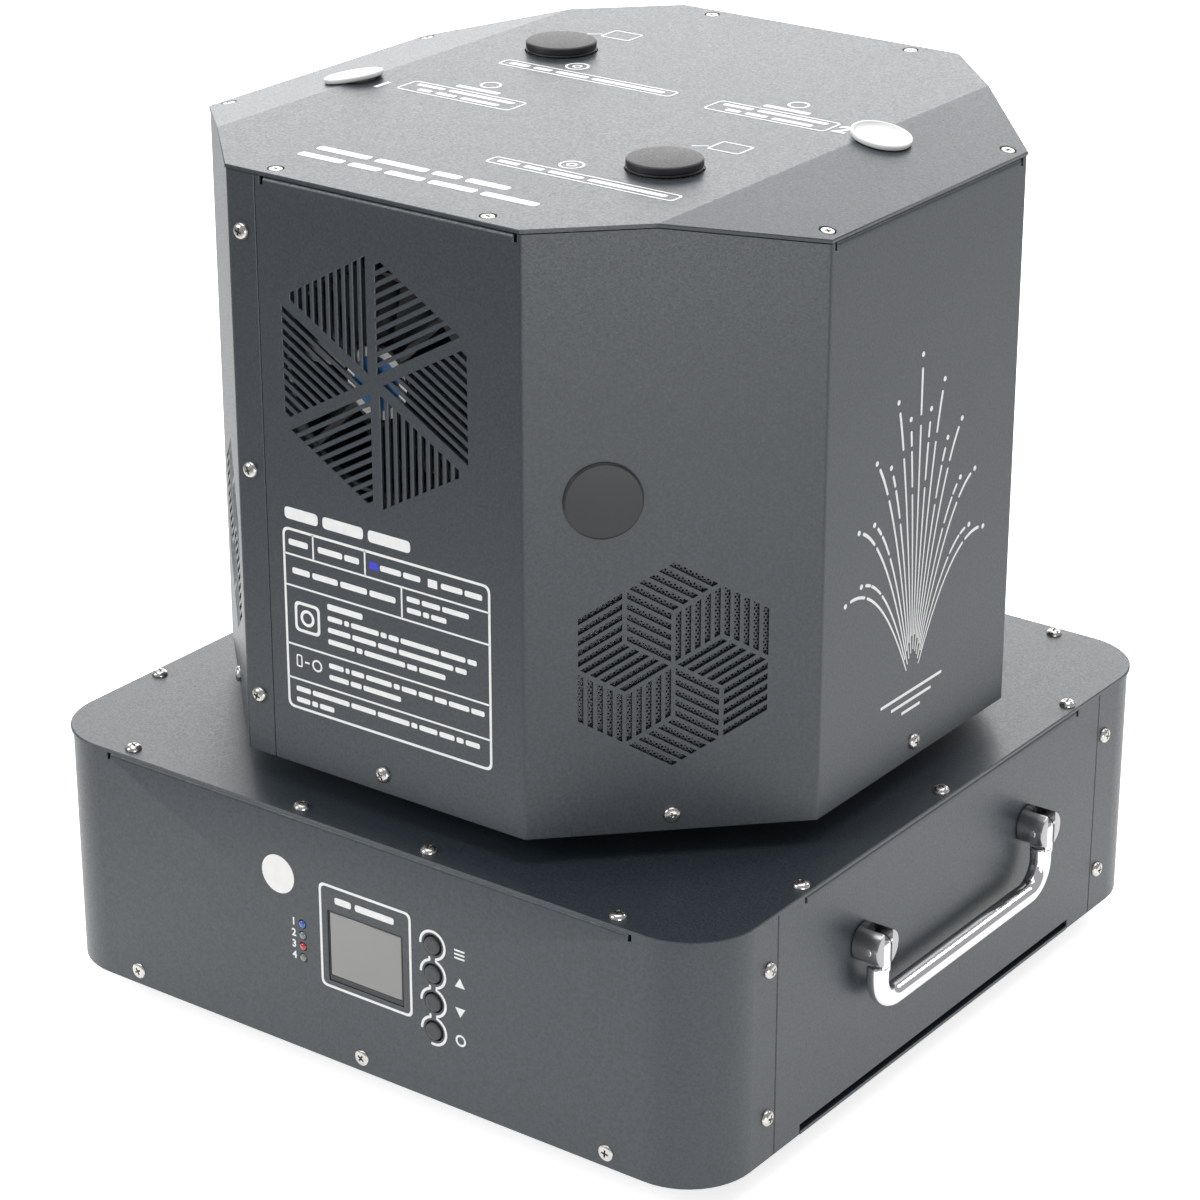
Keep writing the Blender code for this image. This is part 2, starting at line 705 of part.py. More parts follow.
def handle_tongue(name, y, place):
    """The flat end of the bail: a plate with a round eye at the top, square to the pin."""
    half = POST_SLOT_WIDTH / 2 - GAP
    bottom = -BAIL_TONGUE_LENGTH - 2
    outline = arc(0, 0, BAIL_EYE_RADIUS, 0, 180, 8)
    outline = [(x, z) for x, z in outline] + [(-BAIL_EYE_RADIUS, bottom), (BAIL_EYE_RADIUS, bottom)]
    hole = circle(0, 0, PIN_RADIUS + GAP, 10)
    loops = [[(x, y - half, z) for x, z in loop] for loop in (outline, hole)]
    return sheet_solid(name, [loops], 2 * half, "chrome", place, helper=True)


def make_handles():
    """A folding handle on each side: two slotted posts, their pins, and the bail that hangs from them."""
    height = BASE_BOTTOM + HANDLE_HEIGHT
    for label, side in (("right", 1), ("left", -1)):
        turn = half_turn(side < 0)
        panel_x = BASE_WIDTH / 2
        for end, y in (("front", -side * HANDLE_PITCH / 2), ("rear", side * HANDLE_PITCH / 2)):
            name = f"handle_post_{label}_{end}"
            post_axis = turn @ axis_frame((panel_x, y, height), (1, 0, 0))
            profile = [(0, GAP), (POST_RADIUS, GAP), (POST_RADIUS, POST_LENGTH - 0.8),
                       (POST_RADIUS - 0.8, POST_LENGTH), (0, POST_LENGTH)]
            post = turned_solid(name, profile, "steel", post_axis, 20)
            half = POST_SLOT_WIDTH / 2
            slot_start = panel_x + POST_LENGTH - POST_SLOT_DEPTH
            cut = ((slot_start, y - half, height - 20), (panel_x + 20, y + half, height + 20))
            slot = box_solid(name + "_slot", [cut], "steel", turn, helper=True)
            pin_place = turn @ axis_frame((panel_x + PIN_FROM_PANEL, y, height), (0, 1, 0))
            bore_radius = PIN_RADIUS + GAP
            bore = rod_solid(name + "_bore", bore_radius, -12, 12, "steel", pin_place, 10)
            carry_out(post, slot, "DIFFERENCE")
            carry_out(post, bore, "DIFFERENCE")
            pin_half = POST_RADIUS - 0.4
            pin = [(0, -pin_half), (PIN_RADIUS, -pin_half), (PIN_RADIUS, pin_half), (0, pin_half)]
            turned_solid(f"handle_pin_{label}_{end}", pin, "chrome", pin_place, 10)
        pivot = turn @ Matrix.Translation((panel_x + PIN_FROM_PANEL, 0, height))
        points, faces = rod_along(bail_path(), BAIL_ROD_RADIUS, 10)
        bail = make_solid("handle_bail_" + label, points, faces, "chrome", pivot, pivot.translation)
        for y in (-HANDLE_PITCH / 2, HANDLE_PITCH / 2):
            tongue = handle_tongue(f"bail_tongue_{label}", y, pivot)
            carry_out(bail, tongue, "UNION")


def key_heights():
    """Heights of the four keys above the floor, from the top one down."""
    middle = BASE_BOTTOM + KEY_HEIGHT
    return [middle + KEY_PITCH * (1.5 - step) for step in range(4)]


def light_heights():
    middle = BASE_BOTTOM + LIGHT_HEIGHT
    return [middle + LIGHT_PITCH * (1.5 - step) for step in range(LIGHT_COUNT)]


def front_holes():
    """The openings of the front panel: the display window, the keys and the four status lights."""
    width, height = (size + 2 * GAP for size in DISPLAY_SIZE)
    display = rectangle(DISPLAY_X, BASE_BOTTOM + DISPLAY_HEIGHT, width, height)
    keys = [circle(KEY_X, z, KEY_RADIUS + KEY_HOLE_GAP, 16) for z in key_heights()]
    lights = [circle(LIGHT_X, z, LIGHT_RADIUS + GAP, 10) for z in light_heights()]
    return [display] + keys + lights


def make_front_controls():
    """The display window, the keys and the board behind them, with the status lights soldered to it."""
    panel_y = -BASE_DEPTH / 2
    inner_y = panel_y + BASE_SHEET
    board_y = panel_y + BOARD_SETBACK
    display_z = BASE_BOTTOM + DISPLAY_HEIGHT
    glass_back = inner_y + WINDOW_LAP
    flange_end = inner_y + GAP + KEY_FLANGE
    stem_end = flange_end + KEY_STEM
    half_width, half_height = DISPLAY_SIZE[0] / 2, DISPLAY_SIZE[1] / 2
    window = ((DISPLAY_X - half_width, panel_y + WINDOW_RECESS, display_z - half_height),
              (DISPLAY_X + half_width, glass_back, display_z + half_height))
    box_solid("display_window", [window], "display_glass")

    half_board, board_z = BOARD_SIZE[0] / 2, BASE_BOTTOM + BOARD_HEIGHT
    sheet = ((DISPLAY_X - half_board, board_y, board_z - BOARD_SIZE[1] / 2),
             (DISPLAY_X + half_board, board_y + BOARD_THICKNESS, board_z + BOARD_SIZE[1] / 2))
    board = box_solid("control_board", [sheet], "board_green")
    into = board_y + BOARD_THICKNESS / 2
    module_x, module_z = half_width + MODULE_MARGIN, half_height + MODULE_MARGIN
    module = ((DISPLAY_X - module_x, glass_back + GAP, display_z - module_z),
              (DISPLAY_X + module_x, into, display_z + module_z))
    parts = [box_solid("display_module", [module], "black_plastic", helper=True)]
    switch_top = stem_end + KEY_TRAVEL + GAP
    half = KEY_SWITCH_HALF
    for key_z in key_heights():
        switch = ((KEY_X - half, switch_top, key_z - half), (KEY_X + half, into, key_z + half))
        parts.append(box_solid("key_switch", [switch], "black_plastic", helper=True))
    reach = into - panel_y
    lens = [(0, 0), (LIGHT_RADIUS, 0), (LIGHT_RADIUS, reach), (LIGHT_RADIUS * 0.6, reach + 0.7),
            (0, reach + 0.9)]
    for light_z in light_heights():
        parts.append(turned_solid("status_light", lens, "white_silicone",
                                  axis_frame((LIGHT_X, into, light_z), (0, -1, 0)), 10, helper=True))
    leg_top = into - inner_y - GAP
    leg = [(0, 0), (BOARD_LEG_RADIUS, 0), (BOARD_LEG_RADIUS, leg_top), (0, leg_top)]
    leg_x, leg_z = half_board - BOARD_LEG_INSET, BOARD_SIZE[1] / 2 - BOARD_LEG_INSET
    for sx, sz in ((-1, -1), (1, -1), (-1, 1), (1, 1)):
        place = axis_frame((DISPLAY_X + sx * leg_x, into, board_z + sz * leg_z), (0, -1, 0))
        parts.append(turned_solid("board_leg", leg, "zinc_plate", place, 8, helper=True))
    carry_out(board, merge_helpers("board_parts", parts), "UNION")

    key_face = -panel_y + KEY_RISE
    rim = KEY_RADIUS + KEY_LIP
    key = [(0, -stem_end), (KEY_STEM_RADIUS, -stem_end), (KEY_STEM_RADIUS, -flange_end), (rim, -flange_end),
           (rim, -inner_y - GAP), (KEY_RADIUS, -inner_y - GAP), (KEY_RADIUS, key_face - 0.4),
           (KEY_RADIUS - 0.4, key_face), (0, key_face)]
    for name, key_z in zip(KEY_NAMES, key_heights()):
        turned_solid("button_" + name, key, "grey_plastic", axis_frame((KEY_X, 0, key_z), (0, -1, 0)), 12,
                     origin=(KEY_X, panel_y, key_z))


def rear_holes():
    """The openings of the rear panel for the round sockets and the rocker switch."""
    z = BASE_BOTTOM + SOCKET_HEIGHT
    round_holes = [circle(x, z, SOCKET_RADIUS + GAP, 20)
                   for x in (POWER_INLET_X, POWER_OUTLET_X, DMX_INPUT_X, DMX_OUTPUT_X)]
    return round_holes + [rectangle(SWITCH_X, z, SWITCH_WIDTH + 2 * (SWITCH_WALL + GAP),
                                     2 * (ROCKER_RADIUS + SWITCH_WALL + GAP))]


def make_rear_sockets():
    """Power inlet and outlet with a centre post, and data sockets with three pins or three holes."""
    panel_y = BASE_DEPTH / 2
    z = BASE_BOTTOM + SOCKET_HEIGHT
    face, back = -GAP, -SOCKET_LENGTH
    flange_top, flange_low = -BASE_SHEET - GAP, -BASE_SHEET - GAP - SOCKET_FLANGE
    floor = face - SOCKET_DEPTH
    post_top = face - CENTRE_POST_RECESS
    round_post = [(SOCKET_BORE_RADIUS, face), (SOCKET_BORE_RADIUS, floor), (CENTRE_POST_RADIUS, floor),
                  (CENTRE_POST_RADIUS, post_top), (0, post_top)]
    data_floor = face - DATA_SOCKET_DEPTH
    shell = [(0, back), (SOCKET_RADIUS - 1, back), (SOCKET_RADIUS - 1, flange_low),
             (SOCKET_FLANGE_RADIUS, flange_low), (SOCKET_FLANGE_RADIUS, flange_top),
             (SOCKET_RADIUS, flange_top), (SOCKET_RADIUS, face)]
    with_post = shell + round_post
    cup = shell + [(SOCKET_BORE_RADIUS, face), (SOCKET_BORE_RADIUS, data_floor), (0, data_floor)]
    plain = shell + [(0, face)]
    sockets = (("power_inlet", POWER_INLET_X, with_post), ("power_outlet", POWER_OUTLET_X, with_post),
               ("dmx_input", DMX_INPUT_X, cup), ("dmx_output", DMX_OUTPUT_X, plain))
    for name, x, profile in sockets:
        place = axis_frame((x, panel_y, z), (0, 1, 0))
        socket = turned_solid(name, profile, "black_plastic", place, 16)
        if not name.startswith("dmx"):
            continue
        pins = name == "dmx_input"
        ends = (data_floor - 3, face - 3) if pins else (data_floor, face + 3)
        radius = CONTACT_PIN_RADIUS if pins else CONTACT_HOLE_RADIUS
        rods = []
        for px, py in circle(0, 0, CONTACT_CIRCLE, 3):
            spot = place @ Matrix.Translation((px, py, 0))
            rods.append(rod_solid("contact", radius, *ends, "steel", spot, 8))
        carry_out(socket, merge_helpers(name + "_contacts", rods), "UNION" if pins else "DIFFERENCE")


def make_power_switch():
    """The rocker and its housing. The rocker's ends are round about its pivot, so it turns freely."""
    panel_y = BASE_DEPTH / 2
    z = BASE_BOTTOM + SOCKET_HEIGHT
    half_x, half_z = SWITCH_WIDTH / 2 + SWITCH_WALL, ROCKER_RADIUS + SWITCH_WALL
    front, back = panel_y - GAP, panel_y - SWITCH_DEPTH
    flange = panel_y - BASE_SHEET - GAP
    rim_x, rim_z = half_x + SWITCH_RIM, half_z + SWITCH_RIM
    cavity_x, cavity_z = SWITCH_WIDTH / 2 + GAP, ROCKER_RADIUS + 2 * GAP

    def switch_box(name, half_width, half_height, low, high, helper=True):
        lowest = (SWITCH_X - half_width, low, z - half_height)
        highest = (SWITCH_X + half_width, high, z + half_height)
        return box_solid(name, [(lowest, highest)], "black_plastic", helper=helper)

    housing = switch_box("switch_housing", half_x, half_z, back, front, helper=False)
    rim = switch_box("switch_rim", rim_x, rim_z, flange - SWITCH_RIM, flange)
    cavity = switch_box("switch_cavity", cavity_x, cavity_z, back + SWITCH_WALL, panel_y + 5)
    carry_out(housing, rim, "UNION")
    carry_out(housing, cavity, "DIFFERENCE")

    pivot_y = panel_y - ROCKER_DEPTH
    upper = arc(0, 0, ROCKER_RADIUS, 52, 88, 4)
    lower = arc(0, 0, ROCKER_RADIUS, 272, 308, 4)
    outline = lower + [(5.6, 0)] + upper
    tilt = Matrix.Rotation(math.radians(ROCKER_TILT), 4, "Z")
    place = axis_frame((SWITCH_X, pivot_y, z), (1, 0, 0)) @ tilt
    prism_solid("power_switch_rocker", outline, -SWITCH_WIDTH / 2, SWITCH_WIDTH / 2, "black_plastic", place,
                origin=(SWITCH_X, pivot_y, z))


def belt_outline(radius_a, radius_b, centre_b, steps):
    """The outline of an open belt round two circles, one at the origin and one at centre_b."""
    distance = math.hypot(*centre_b)
    towards = math.degrees(math.atan2(centre_b[1], centre_b[0]))
    lean = math.degrees(math.acos((radius_a - radius_b) / distance))
    big = arc(0, 0, radius_a, towards + lean, towards + 360 - lean, 2 * steps)
    small = arc(centre_b[0], centre_b[1], radius_b, towards - lean, towards + lean, steps)
    return big + small


def make_drive():
    """The head's drive: spindle with its pulley, bearing, stepper motor, belt and slip ring."""
    spindle_top = HEAD_BOTTOM - GAP
    collar = BASE_TOP + COLLAR_RISE
    bearing_top = collar - GAP
    sleeve = SPINDLE_RADIUS + RUNNING_GAP
    pulley_top = PULLEY_BOTTOM + PULLEY_WIDTH
    spindle = [(SPINDLE_BORE_RADIUS, PULLEY_BOTTOM), (PULLEY_RADIUS, PULLEY_BOTTOM),
               (PULLEY_RADIUS, pulley_top), (SPINDLE_RADIUS, pulley_top), (SPINDLE_RADIUS, collar),
               (COLLAR_RADIUS, collar), (COLLAR_RADIUS, spindle_top), (SPINDLE_BORE_RADIUS, spindle_top)]
    turned_solid("head_spindle_pulley", spindle, "aluminium", segments=28)
    under_lid = BASE_TOP - BASE_SHEET - GAP
    flange_low = under_lid - BEARING_FLANGE_HEIGHT
    bearing = [(sleeve, pulley_top + 1), (COLLAR_RADIUS, pulley_top + 1), (COLLAR_RADIUS, flange_low),
               (BEARING_FLANGE_RADIUS, flange_low), (BEARING_FLANGE_RADIUS, under_lid),
               (COLLAR_RADIUS, under_lid), (COLLAR_RADIUS, bearing_top), (sleeve, bearing_top)]
    turned_solid("turntable_bearing", bearing, "steel", segments=28)

    motor_bottom = PAN_TOP + GAP
    motor_top = motor_bottom + MOTOR_HEIGHT
    motor_place = Matrix.Translation((MOTOR_X, MOTOR_Y, 0))
    half, cut = MOTOR_SIZE / 2, 5.0
    body = []
    for turn in (Matrix.Rotation(math.pi / 2 * quarter, 2) for quarter in range(4)):
        body += [turn @ Vector((half - cut, -half)), turn @ Vector((half, -half + cut))]
    motor = prism_solid("drive_motor", body, motor_bottom, motor_top, "black_plastic", motor_place)
    boss_top = motor_top + MOTOR_BOSS_HEIGHT
    boss = rod_solid("motor_boss", MOTOR_BOSS_RADIUS, motor_top - 2, boss_top, "aluminium", motor_place, 20)
    carry_out(motor, boss, "UNION")
    shaft_low = boss_top + GAP
    rim = MOTOR_PULLEY_RADIUS + PULLEY_RIM
    groove_low, groove_top = PULLEY_BOTTOM + PULLEY_RIM_HEIGHT, pulley_top - PULLEY_RIM_HEIGHT
    pulley = [(0, shaft_low), (MOTOR_SHAFT_RADIUS, shaft_low), (MOTOR_SHAFT_RADIUS, PULLEY_BOTTOM),
              (rim, PULLEY_BOTTOM), (rim, groove_low), (MOTOR_PULLEY_RADIUS, groove_low),
              (MOTOR_PULLEY_RADIUS, groove_top), (rim, groove_top), (rim, pulley_top), (0, pulley_top)]
    turned_solid("motor_pulley", pulley, "aluminium", motor_place, 14,
                 origin=(MOTOR_X, MOTOR_Y, PULLEY_BOTTOM))

    belt_low = PULLEY_BOTTOM + (PULLEY_WIDTH - BELT_WIDTH) / 2
    centre = (MOTOR_X, MOTOR_Y)
    inner = belt_outline(PULLEY_RADIUS + BELT_GAP, MOTOR_PULLEY_RADIUS + BELT_GAP, centre, 12)
    back = BELT_GAP + BELT_THICKNESS
    outer = belt_outline(PULLEY_RADIUS + back, MOTOR_PULLEY_RADIUS + back, centre, 12)
    loops = [[(x, y, belt_low + BELT_WIDTH) for x, y in loop] for loop in (outer, inner)]
    sheet_solid("drive_belt", [loops], BELT_WIDTH, "black_rubber")

    ring_low = PAN_TOP + GAP
    foot_top = ring_low + SLIP_FOOT_HEIGHT
    body_top = PULLEY_BOTTOM - SLIP_LEAD_CLEARANCE
    body_low = body_top - SLIP_BODY_LENGTH
    rotor = SPINDLE_BORE_RADIUS - SLIP_LEAD_CLEARANCE
    rotor_top = BASE_TOP - SLIP_BELOW_LID
    slip = [(0, ring_low), (SLIP_FOOT_RADIUS, ring_low), (SLIP_FOOT_RADIUS, foot_top),
            (SLIP_STEM_RADIUS, foot_top), (SLIP_STEM_RADIUS, body_low), (SLIP_BODY_RADIUS, body_low),
            (SLIP_BODY_RADIUS, body_top), (rotor, body_top), (rotor, rotor_top), (0, rotor_top)]
    turned_solid("slip_ring", slip, "grey_plastic", segments=14)

    length, depth, height = SUPPLY_SIZE
    near, far = SUPPLY_Y - depth / 2, SUPPLY_Y + depth / 2
    ledge, ledge_top = near + SUPPLY_STEP[0], ring_low + SUPPLY_STEP[1]
    profile = [(near, ring_low), (far, ring_low), (far, ring_low + height), (ledge, ring_low + height),
               (ledge, ledge_top), (near, ledge_top)]
    prism_solid("power_supply", profile, SUPPLY_X - length / 2, SUPPLY_X + length / 2, "zinc_plate",
                axis_frame((0, 0, 0), (1, 0, 0)))


def octagon(half_width, face_half):
    """The head's plan, anticlockwise, from the left end of the front face."""
    quarter = [(-face_half, -half_width), (face_half, -half_width)]
    points = []
    for turn in range(4):
        for x, y in quarter:
            points.append(Matrix.Rotation(math.pi / 2 * turn, 2) @ Vector((x, y)))
    return points


def wall_top(x):
    """The height of the head's walls under the top plate, which slopes down past its folds."""
    under = HEAD_TOP - HEAD_SHEET - GAP
    return under - max(abs(x) - TOP_FOLD_X, 0) * FOLD_SLOPE


def hexagon_slots():
    """The grille's slots about its middle: in each of six triangles they run along its first spoke."""
    slots = []
    for sector in range(6):
        spoke = Matrix.Rotation(math.radians(30 + 60 * sector), 2)
        for step in range(1, GRILLE_SLOTS + 1):
            across = (step * GRILLE_PITCH - GRILLE_SLOT / 2, step * GRILLE_PITCH + GRILLE_SLOT / 2)
            slot = []
            for p, q in ((across[0], 0), (across[0], 1), (across[1], 1), (across[1], 0)):
                near = p / math.tan(math.radians(60)) + GRILLE_SPOKE / math.sin(math.radians(60))
                far = GRILLE_RADIUS - p / math.tan(math.radians(60))
                slot.append(spoke @ Vector((far if q else near, p)))
            if (slot[2] - slot[3]).length > 1.0 and (slot[2] - slot[3]).dot(slot[1] - slot[0]) > 0:
                slots.append(slot)
    return slots


def make_head_shells():
    """Two shells, each a main face, two corner faces, a side face and a strip that laps the other shell."""
    half, face = HEAD_HALF_WIDTH, HEAD_FACE_HALF
    strip_x = face - STRIP_WIDTH
    main_start = -strip_x + GAP
    path = [(main_start, -half), (face, -half), (half, -face), (half, face), (face, half), (strip_x, half)]
    for name, turned in (("head_shell_front_right", False), ("head_shell_rear_left", True)):
        place = half_turn(turned)
        faces = []
        walls = [WallFace(a, b) for a, b in zip(path, path[1:])]
        main, corner, side, rear_corner, strip = walls
        grille = [[(p.x - main_start, p.y + GRILLE_Z) for p in slot] for slot in hexagon_slots()]
        edge = [(0, HEAD_BOTTOM), (main.width, HEAD_BOTTOM)]
        outline, bend, flange = folded_top(main, edge, wall_top(0), 5, main.width - 5)
        faces += [[outline] + [main.loop(slot) for slot in grille], bend, flange]
        for wall, reverse in ((corner, False), (rear_corner, True)):
            bend_u = (TOP_FOLD_X - face) * math.sqrt(2)
            tops = [(wall.width, wall_top(half)), (bend_u, wall_top(TOP_FOLD_X)), (0, wall_top(face))]
            if reverse:
                tops = [(wall.width - u, z) for u, z in reversed(tops)]
            loops = [wall.loop([(0, HEAD_BOTTOM), (wall.width, HEAD_BOTTOM)] + tops)]
            if wall is corner and not turned:
                plug_u = wall.width / 2 + PLUG_OFFSET
                loops.append(wall.loop(circle(plug_u, HEAD_TOP - PLUG_BELOW_TOP, PLUG_HOLE_RADIUS, 20)))
            faces.append(loops)
        edge = [(0, HEAD_BOTTOM), (side.width, HEAD_BOTTOM)]
        outline, bend, flange = folded_top(side, edge, wall_top(half), 5, side.width - 5, FOLD_SLOPE)
        faces += [[outline], bend, flange]
        faces.append([strip.plain(HEAD_BOTTOM, wall_top(0))])
        shell = sheet_solid(name, faces, HEAD_SHEET, "charcoal_paint", place)
        tongue = seam_tongue(name + "_tongue", main, 0, -STRIP_WIDTH + 3, HEAD_FLOOR_TOP + HEAD_TAB_HEIGHT,
                             wall_top(0) - FLANGE_DEPTH, HEAD_SHEET, 8.0, place)
        carry_out(shell, tongue, "UNION")


def barrel_frame():
    """The tilted frame of a barrel: its local Z axis points out of the nozzle, square to the plate."""
    lean = math.radians(TOP_FOLD_ANGLE)
    plate_z = HEAD_TOP - (NOZZLE_X - TOP_FOLD_X) * FOLD_SLOPE
    return axis_frame((NOZZLE_X, NOZZLE_Y, plate_z), (math.sin(lean), 0, math.cos(lean)), (0, 1, 0))


def stand_parts(turned):
    """The stand that carries a barrel: a folded bracket whose top is square to the leaning barrel."""
    lean = math.radians(TOP_FOLD_ANGLE)
    foot = barrel_frame() @ Vector((0, 0, -HEAD_SHEET - NOZZLE_LENGTH - HEATER_LENGTH - GAP))
    left, right = foot.x - HEATER_RADIUS, foot.x + HEATER_RADIUS
    low = HEAD_BOTTOM + HEAD_SHEET / 2
    sheet = STAND_SHEET

    def top(x, depth=0.0):
        return foot.z - (x - foot.x) * math.tan(lean) - depth / math.cos(lean)

    outline = [(left, low), (left + sheet, low), (left + sheet, top(left + sheet, sheet)),
               (right - sheet, top(right - sheet, sheet)), (right - sheet, low), (right, low),
               (right, top(right)), (left, top(left))]
    side_frame = axis_frame((0, NOZZLE_Y, 0), (0, -1, 0))
    local = [side_frame.inverted() @ Vector((x, NOZZLE_Y, z)) for x, z in outline]
    flat = [(p.x, p.y) for p in local]
    area = sum(p[0] * q[1] - q[0] * p[1] for p, q in zip(flat, flat[1:] + flat[:1]))
    if area < 0:
        flat.reverse()
    return prism_solid("barrel_stand", flat, -STAND_HALF_WIDTH, STAND_HALF_WIDTH, "zinc_plate",
                       half_turn(turned) @ side_frame, helper=True)


def make_head_floor():
    """The head's floor: an eight-sided plate with a screw tab on each side, and the barrels' stands."""
    inset = HEAD_SHEET + GAP
    plan = octagon(HEAD_INSIDE, HEAD_FACE_HALF - inset * math.tan(math.radians(22.5)))
    outline, faces = [], []
    for a, b in zip(plan, plan[1:] + plan[:1]):
        wall = WallFace(a, b)
        start, end = (wall.width - HEAD_TAB_WIDTH) / 2, (wall.width + HEAD_TAB_WIDTH) / 2
        outline += [wall.point(u, HEAD_BOTTOM) for u in (0, start, end)]
        top = HEAD_BOTTOM + HEAD_TAB_HEIGHT
        faces.append([wall.loop([(start, HEAD_BOTTOM), (end, HEAD_BOTTOM), (end, top), (start, top)])])
    hole = [(x, y, HEAD_BOTTOM) for x, y in circle(0, 0, SPINDLE_BORE_RADIUS, 20)]
    faces.append([list(reversed(outline)), hole])
    floor = sheet_solid("head_floor", faces, HEAD_SHEET, "zinc_plate")
    for turned in (False, True):
        carry_out(floor, stand_parts(turned), "UNION")


def make_top_plate():
    """The top plate: a flat middle and two sloping sides, with two filler holes and two nozzle holes."""
    half = HEAD_HALF_WIDTH + TOP_OVERHANG
    face = HEAD_FACE_HALF + TOP_OVERHANG * math.tan(math.radians(22.5))
    fold_y = half - (TOP_FOLD_X - face)
    edge_z = HEAD_TOP - (half - TOP_FOLD_X) * FOLD_SLOPE
    middle = [(-face, -half), (face, -half), (TOP_FOLD_X, -fold_y), (TOP_FOLD_X, fold_y),
              (face, half), (-face, half), (-TOP_FOLD_X, fold_y), (-TOP_FOLD_X, -fold_y)]
    fills = [circle(x, y, FILL_CAP_RADIUS + GAP, 20) for x, y in ((FILL_X, FILL_Y), (-FILL_X, -FILL_Y))]
    faces = [[[(x, y, HEAD_TOP) for x, y in loop] for loop in [middle] + fills]]
    for side in (1, -1):
        flap = [(side * TOP_FOLD_X, -side * fold_y, HEAD_TOP), (side * half, -side * face, edge_z),
                (side * half, side * face, edge_z), (side * TOP_FOLD_X, side * fold_y, HEAD_TOP)]
        faces.append([flap])
    plate = sheet_solid("head_top_plate", faces, HEAD_SHEET, "charcoal_paint")
    radius = NOZZLE_RADIUS + RUNNING_GAP
    for turned in (False, True):
        cutter = rod_solid("nozzle_hole", radius, -6, 6, "steel", half_turn(turned) @ barrel_frame(), 20)
        carry_out(plate, cutter, "DIFFERENCE")


def feed_frame():
    """The frame of the feed tube: it starts under the hopper, and its local Z axis points at the barrel."""
    barrel = barrel_frame()
    down = barrel.col[2].xyz
    meet = barrel.translation + down * ((FEED_Z - barrel.translation.z) / down.z)
    start = Vector((FILL_X, FILL_Y, FEED_Z))
    return axis_frame(start, meet - start), (meet - start).length


